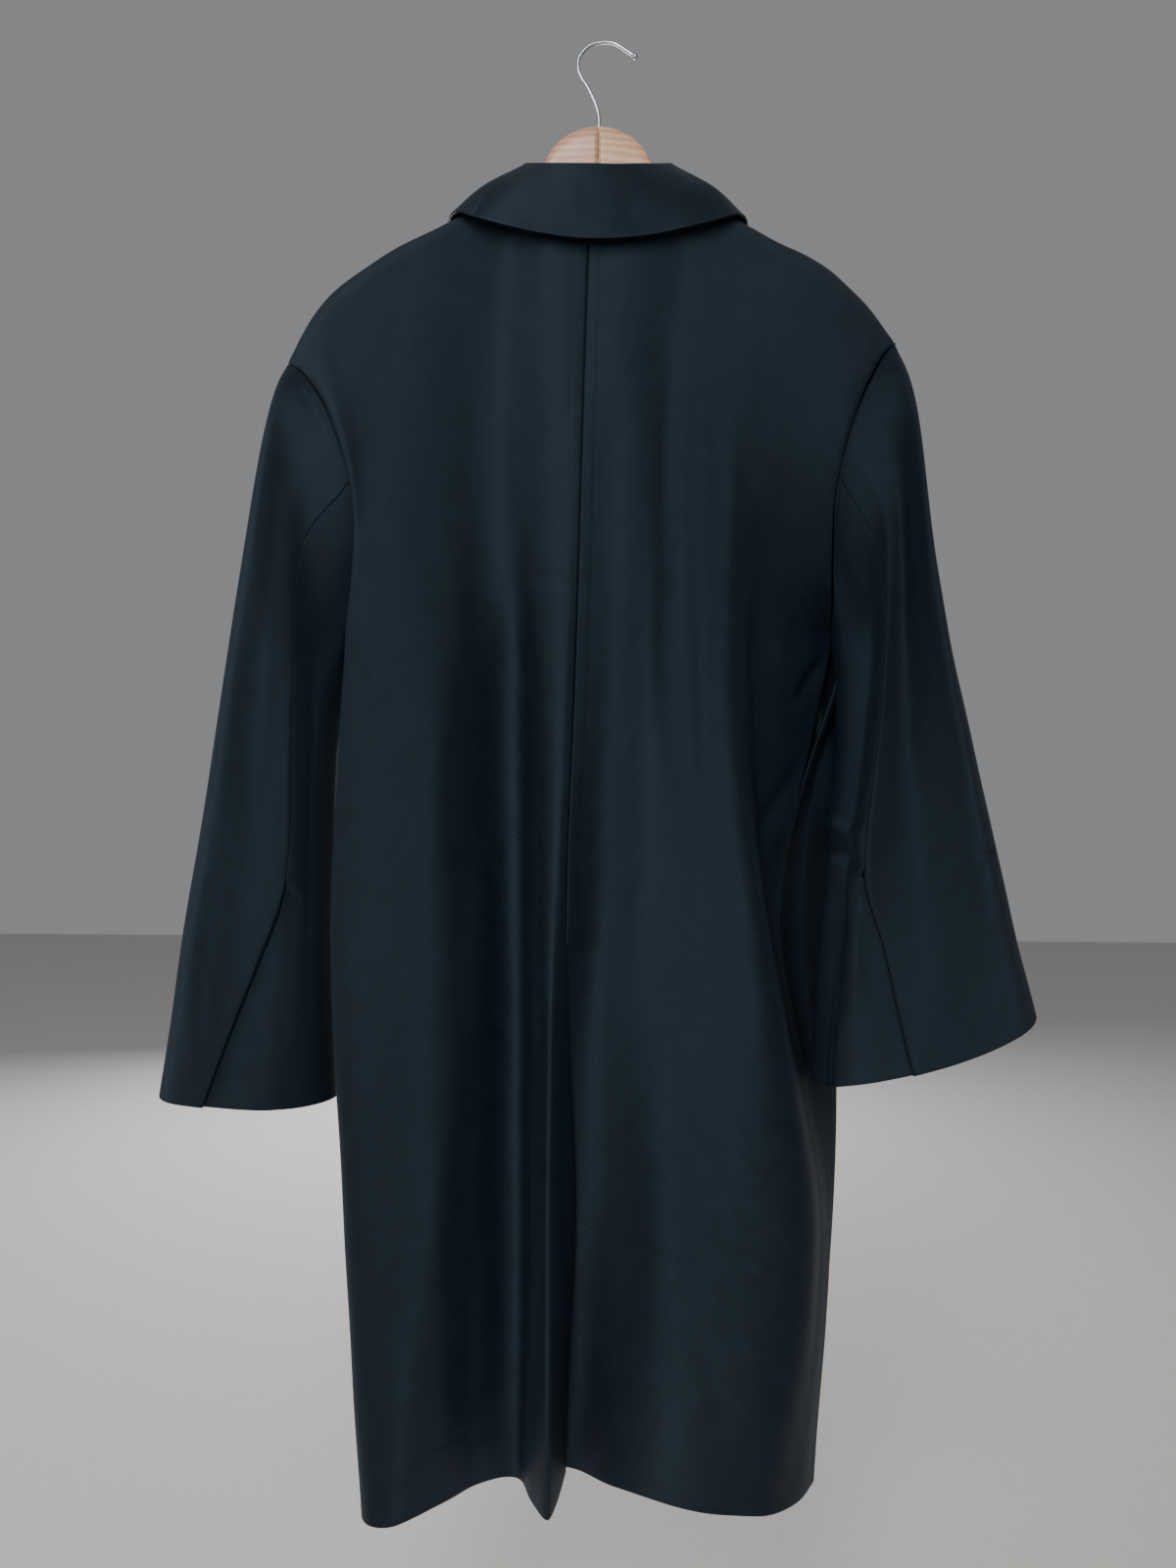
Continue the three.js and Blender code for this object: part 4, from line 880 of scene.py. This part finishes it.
def sleeve_panel(side, part):
    rows = np.concatenate([spaced([0, 1, 3.2], [44, 92])[:-1], spaced([3.2, 3.28], [5])[:-1],
                           spaced([3.28, 5], [78])])
    if part == "upper":
        cols = spaced([FRONT_SEAM_TURN - 1, -0.03, 0.03, BACK_SEAM_TURN], [16, 14, 34])
    else:
        cols = spaced([BACK_SEAM_TURN, 0.35, FRONT_SEAM_TURN], [14, 32])
    cols = seam_edge(cols, True, True, EDGE_STEP["sleeve"])
    seam = through(LEVELS, BACK_SEAM[side], rows)
    lap = seam.copy()
    if part == "under":
        below = rows - CUFF_VENT_TOP - CUFF_TUCK["over"]
        lap -= CUFF_TUCK["lap"] * ease(below / CUFF_LAP_OVER)
    # The back seam slants, so the columns beside it are moved over with it.
    c, s = cols[None, :], lap[:, None]
    turns = np.where(c < 0, c + 0 * s, np.where(
        c <= BACK_SEAM_TURN, c * s / BACK_SEAM_TURN,
        mix(s, FRONT_SEAM_TURN, (c - BACK_SEAM_TURN) / (FRONT_SEAM_TURN - BACK_SEAM_TURN))))
    grid = sleeve_surface(side, turns, rows)
    normals = grid_normals(grid, -1)
    if part == "under":
        sink = CUFF_TUCK["depth"] * ease((rows[:, None] - CUFF_VENT_TOP) / CUFF_TUCK["over"])
        sink = sink * ease(1 - (turns - seam[:, None]) / CUFF_TUCK["reach"])
        grid = grid - normals * sink[..., None]
    grid = settle(grid, normals, side, "sleeve", 0.8)
    normals = grid_normals(grid, -1)
    for edge in ("first row", "first column", "last column"):
        grid = roll_seam(grid, normals, edge)
    facing = np.zeros(grid.shape[:2], bool)
    facing[rows > CUFF_FACING] = True
    return shell(f"coat_sleeve_{part}_{side}", grid, normals, facing, side,
                 round_edges=(0.2, 0.5, 1, 0.5), flip=True)


def collar_piece():
    around = np.linspace(-1, 1, 221)
    down = spaced([0, 0.2, 0.3, 1], [6, 12, 36])
    grid = collar_surface(around, down)
    normals = grid_normals(grid, 1)
    grid = settle(grid, normals, "left", "collar", 0.5)
    normals = grid_normals(grid, 1)
    facing = np.ones(grid.shape[:2], bool)
    return shell("coat_collar", grid, normals, facing, thick=COLLAR_CLOTH,
                 round_edges=(0.3, 1, 1, 1))


def lapel_piece(side):
    levels = np.linspace(LAPEL[0][0], LAPEL[-1][0], 110)
    shares = np.linspace(0, 1, 34)
    widths = through([r[0] for r in LAPEL], [r[1] for r in LAPEL], levels)
    grid = np.zeros((len(levels), len(shares), 3))
    for j, level in enumerate(levels):
        ats = 2 - LAPEL_IN - shares * widths[j]
        near = np.array([max(0.0, level - LAPEL_IN), level, level + LAPEL_IN])
        band = body_surface(side, ats[::-1], near, True)
        normal = grid_normals(band, 1)[1]
        grid[j] = (band[1] + normal * LAPEL_LIFT)[::-1]
    normals = grid_normals(grid, -1)
    facing = np.ones(grid.shape[:2], bool)
    return shell(f"coat_lapel_{side}", grid, normals, facing, side, flip=True)


for side in ("left", "right"):
    back = body_panel(side, False)
    coat_piece(back, f"back_{side}")
    front = body_panel(side, True)
    coat_piece(front, f"front_{side}")
    coat_piece(sleeve_panel(side, "upper"), f"sleeve_upper_{side}")
    coat_piece(sleeve_panel(side, "under"), f"sleeve_under_{side}")
    coat_piece(lapel_piece(side), f"lapel_{side}")
coat_piece(collar_piece(), "collar")

# ---------------------------------------------------------------- hard pieces


def new_object(name, bm, finish, smooth=True):
    """An object of a bmesh, which is used up, in one material."""
    mesh = bpy.data.meshes.new(name)
    bm.to_mesh(mesh)
    bm.free()
    mesh.materials.append(finish)
    mesh.polygons.foreach_set("use_smooth", np.full(len(mesh.polygons), smooth))
    return add_object(name, mesh)


def smooth_path(points, steps):
    """A smooth path through points, with this many steps from each to the next."""
    lengths = run_lengths(points[:, :3])
    t = spaced(lengths, [steps] * (len(lengths) - 1))
    return np.stack([through(lengths, points[:, k], t) for k in range(points.shape[1])], axis=1)


def join_rings(bm, rings):
    """Skins a row of rings of points and closes both of its ends."""
    for a, b in zip(rings, rings[1:]):
        for k in range(len(a)):
            n = (k + 1) % len(a)
            bm.faces.new((a[k], a[n], b[n], b[k]))
    bm.faces.new(rings[0][::-1])
    bm.faces.new(rings[-1])


def squarer(v):
    return math.copysign(abs(v) ** HANGER_SQUARE, v)


def hanger_half(side):
    sign = 1 if side == "left" else -1
    bm = bmesh.new()
    rings = []
    for x, top, bottom, half in smooth_path(np.array(HANGER, float), 4):
        ring = []
        for k in range(HANGER_SIDES):
            angle = 2 * math.pi * (k + 0.5) / HANGER_SIDES
            y = half * squarer(math.sin(angle))
            z = (top + bottom) / 2 + (top - bottom) / 2 * squarer(math.cos(angle))
            ring.append(bm.verts.new(((COAT_X + sign * x) * MM, y * MM, z * MM)))
        rings.append(ring)
    join_rings(bm, rings)
    bmesh.ops.recalc_face_normals(bm, faces=bm.faces)
    obj = new_object(f"wood_half_{side}", bm, WOOD[side])
    for polygon in obj.data.polygons:
        polygon.use_smooth = len(polygon.vertices) == 4  # the flat ends keep their edge
    return obj


def tube(name, points, radius, finish, sides=16, steps=8):
    path = smooth_path(np.array(points, float), steps)
    bm = bmesh.new()
    rings = []
    normal = np.array([0.0, 1.0, 0.0])
    for p, way in zip(path, unit(np.gradient(path, axis=0))):
        normal = normal - way * (normal @ way)
        normal /= np.linalg.norm(normal)
        other = np.cross(way, normal)
        rings.append([bm.verts.new((p + radius * (math.cos(a) * normal + math.sin(a) * other)) * MM)
                      for a in np.linspace(0, 2 * math.pi, sides, endpoint=False)])
    join_rings(bm, rings)
    bmesh.ops.recalc_face_normals(bm, faces=bm.faces)
    return new_object(name, bm, finish)


for side in ("left", "right"):
    half = hanger_half(side)
    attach(half, "root")
    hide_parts(f"hanger_{side}")

hook = tube("hook_wire", [(x, 0, z) for x, z in HOOK_WIRE], HOOK_RADIUS, CHROME)
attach(hook, "root")
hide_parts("hook")
tip_x, tip_z = HOOK_WIRE[-1]
bm = bmesh.new()
bmesh.ops.create_uvsphere(bm, u_segments=20, v_segments=12, radius=KNOB_RADIUS * MM,
                          matrix=Matrix.Translation((tip_x * MM, 0, tip_z * MM)))
knob = new_object("hook_knob", bm, CHROME)
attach(knob, "root")

for i in range(BUTTONS):
    for place in bpy.data.objects[f"button_{i + 1}"].material_slots:
        place.material = HORN

# ---------------------------------------------------------------- stitches at the cuffs


FACES_BACK = 0.3  # y of a normal that looks backward enough


def on_cloth(piece, x, z):
    """The point and the outward direction on the back of a cloth piece, at this x and z."""
    grid, normals = PANELS[piece]
    gap = (grid[..., 0] - x) ** 2 + (grid[..., 2] - z) ** 2
    gap = np.where(normals[..., 1] > FACES_BACK, gap, np.inf)
    j, i = np.unravel_index(np.argmin(gap), gap.shape)
    p, n = grid[j, i], normals[j, i]
    y = p[1] - (n[0] * (x - p[0]) + n[2] * (z - p[2])) / n[1]
    return np.array([x, y, z]), n


# A row of stitches closes each cuff vent at its top: where it starts and ends, as (x, z).
CUFF_STITCHES = {"left": ((284.0, -777.0), (337.5, -801.5)),
                 "right": ((231.5, -759.5), (275.5, -778.5))}
STITCH = {"pitch": 3.1, "length": 2.4, "radius": 0.28, "thin": 0.35, "sides": 6, "rings": 5,
          "sunk": 0.05}


def stitches(side):
    """Short rounded threads in a row on the upper sleeve, along the top of its cuff vent."""
    start, end = (np.array(v) for v in CUFF_STITCHES[side])
    length = np.linalg.norm(end - start)
    row = unit(np.array([end[0] - start[0], 0, end[1] - start[1]]))
    bm = bmesh.new()
    for k in range(int(length / STITCH["pitch"])):
        rings = []
        for r in range(STITCH["rings"]):
            f = r / (STITCH["rings"] - 1)
            along = k * STITCH["pitch"] + f * STITCH["length"]
            x, z = start + (end - start) * along / length
            p, n = on_cloth(f"coat_sleeve_upper_{side}", x, z)
            out = np.cross(unit(row - n * (row @ n)), n)
            size = STITCH["radius"] * mix(STITCH["thin"], 1, math.sin(math.pi * f))
            centre = p + n * (size - STITCH["sunk"])
            ring = []
            for angle in np.linspace(0, 2 * math.pi, STITCH["sides"], endpoint=False):
                v = centre + size * (math.cos(angle) * n + math.sin(angle) * out)
                v[0] = COAT_X + (v[0] if side == "left" else -v[0])
                ring.append(bm.verts.new(v * MM))
            rings.append(ring)
        join_rings(bm, rings)
    bmesh.ops.recalc_face_normals(bm, faces=bm.faces)
    return new_object(f"cuff_stitches_{side}", bm, THREAD)


for side in ("left", "right"):
    row = stitches(side)
    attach(row, "root")

# ---------------------------------------------------------------- stage, light, camera

FLOOR = {"z": -1.62, "half": 6}
# Lights in metres: name, place, target, width and height, power.
LIGHTS = [
    ("key", (0.6, 2.75, 0.75), (0, 0, -0.35), (0.9, 3.0), 92),
    ("side", (2.6, 0.9, 0.3), (0, 0, -0.7), (1.2, 1.2), 16),
    ("front", (0.5, -2.8, -0.1), (0, 0, -0.8), (1.6, 1.4), 70),
]
SKY = {"colour": (0.8, 0.81, 0.83, 1), "strength": 0.3}
CAMERA = {"place": (0.01025, 1.1, -0.6911), "roll": math.radians(0.44), "lens": 27.04, "sensor": 36}


def area_light(name, place, target, size, power):
    data = bpy.data.lights.new(name, "AREA")
    data.shape = "RECTANGLE"
    data.size, data.size_y = size
    data.energy = power
    light = add_object(name, data)
    light.location = place
    direction = Vector(target) - Vector(place)
    light.rotation_euler = direction.to_track_quat("-Z", "Y").to_euler()


bm = bmesh.new()
bmesh.ops.create_grid(bm, x_segments=1, y_segments=1, size=FLOOR["half"],
                      matrix=Matrix.Translation((0, 0, FLOOR["z"])))
floor = new_object("floor", bm, hard_material("floor_pale", (0.62, 0.6, 0.57), 0.8, 0.0, 0), False)

for light in LIGHTS:
    area_light(*light)
world = bpy.data.worlds.new("pale")
world.use_nodes = True
set_inputs(world.node_tree.nodes["Background"],
           {"Color": SKY["colour"], "Strength": SKY["strength"]})
bpy.context.scene.world = world

# The camera looks along -Y at the coat's back, level, and leans a little to one side.
data = bpy.data.cameras.new("photo")
data.lens = CAMERA["lens"]
data.sensor_width = CAMERA["sensor"]
camera = add_object("photo", data)
lean, rise = math.sin(CAMERA["roll"]), math.cos(CAMERA["roll"])
basis = Matrix(((-rise, lean, 0), (0, 0, 1), (lean, rise, 0)))
camera.matrix_world = Matrix.Translation(CAMERA["place"]) @ basis.to_4x4()
bpy.context.scene.camera = camera
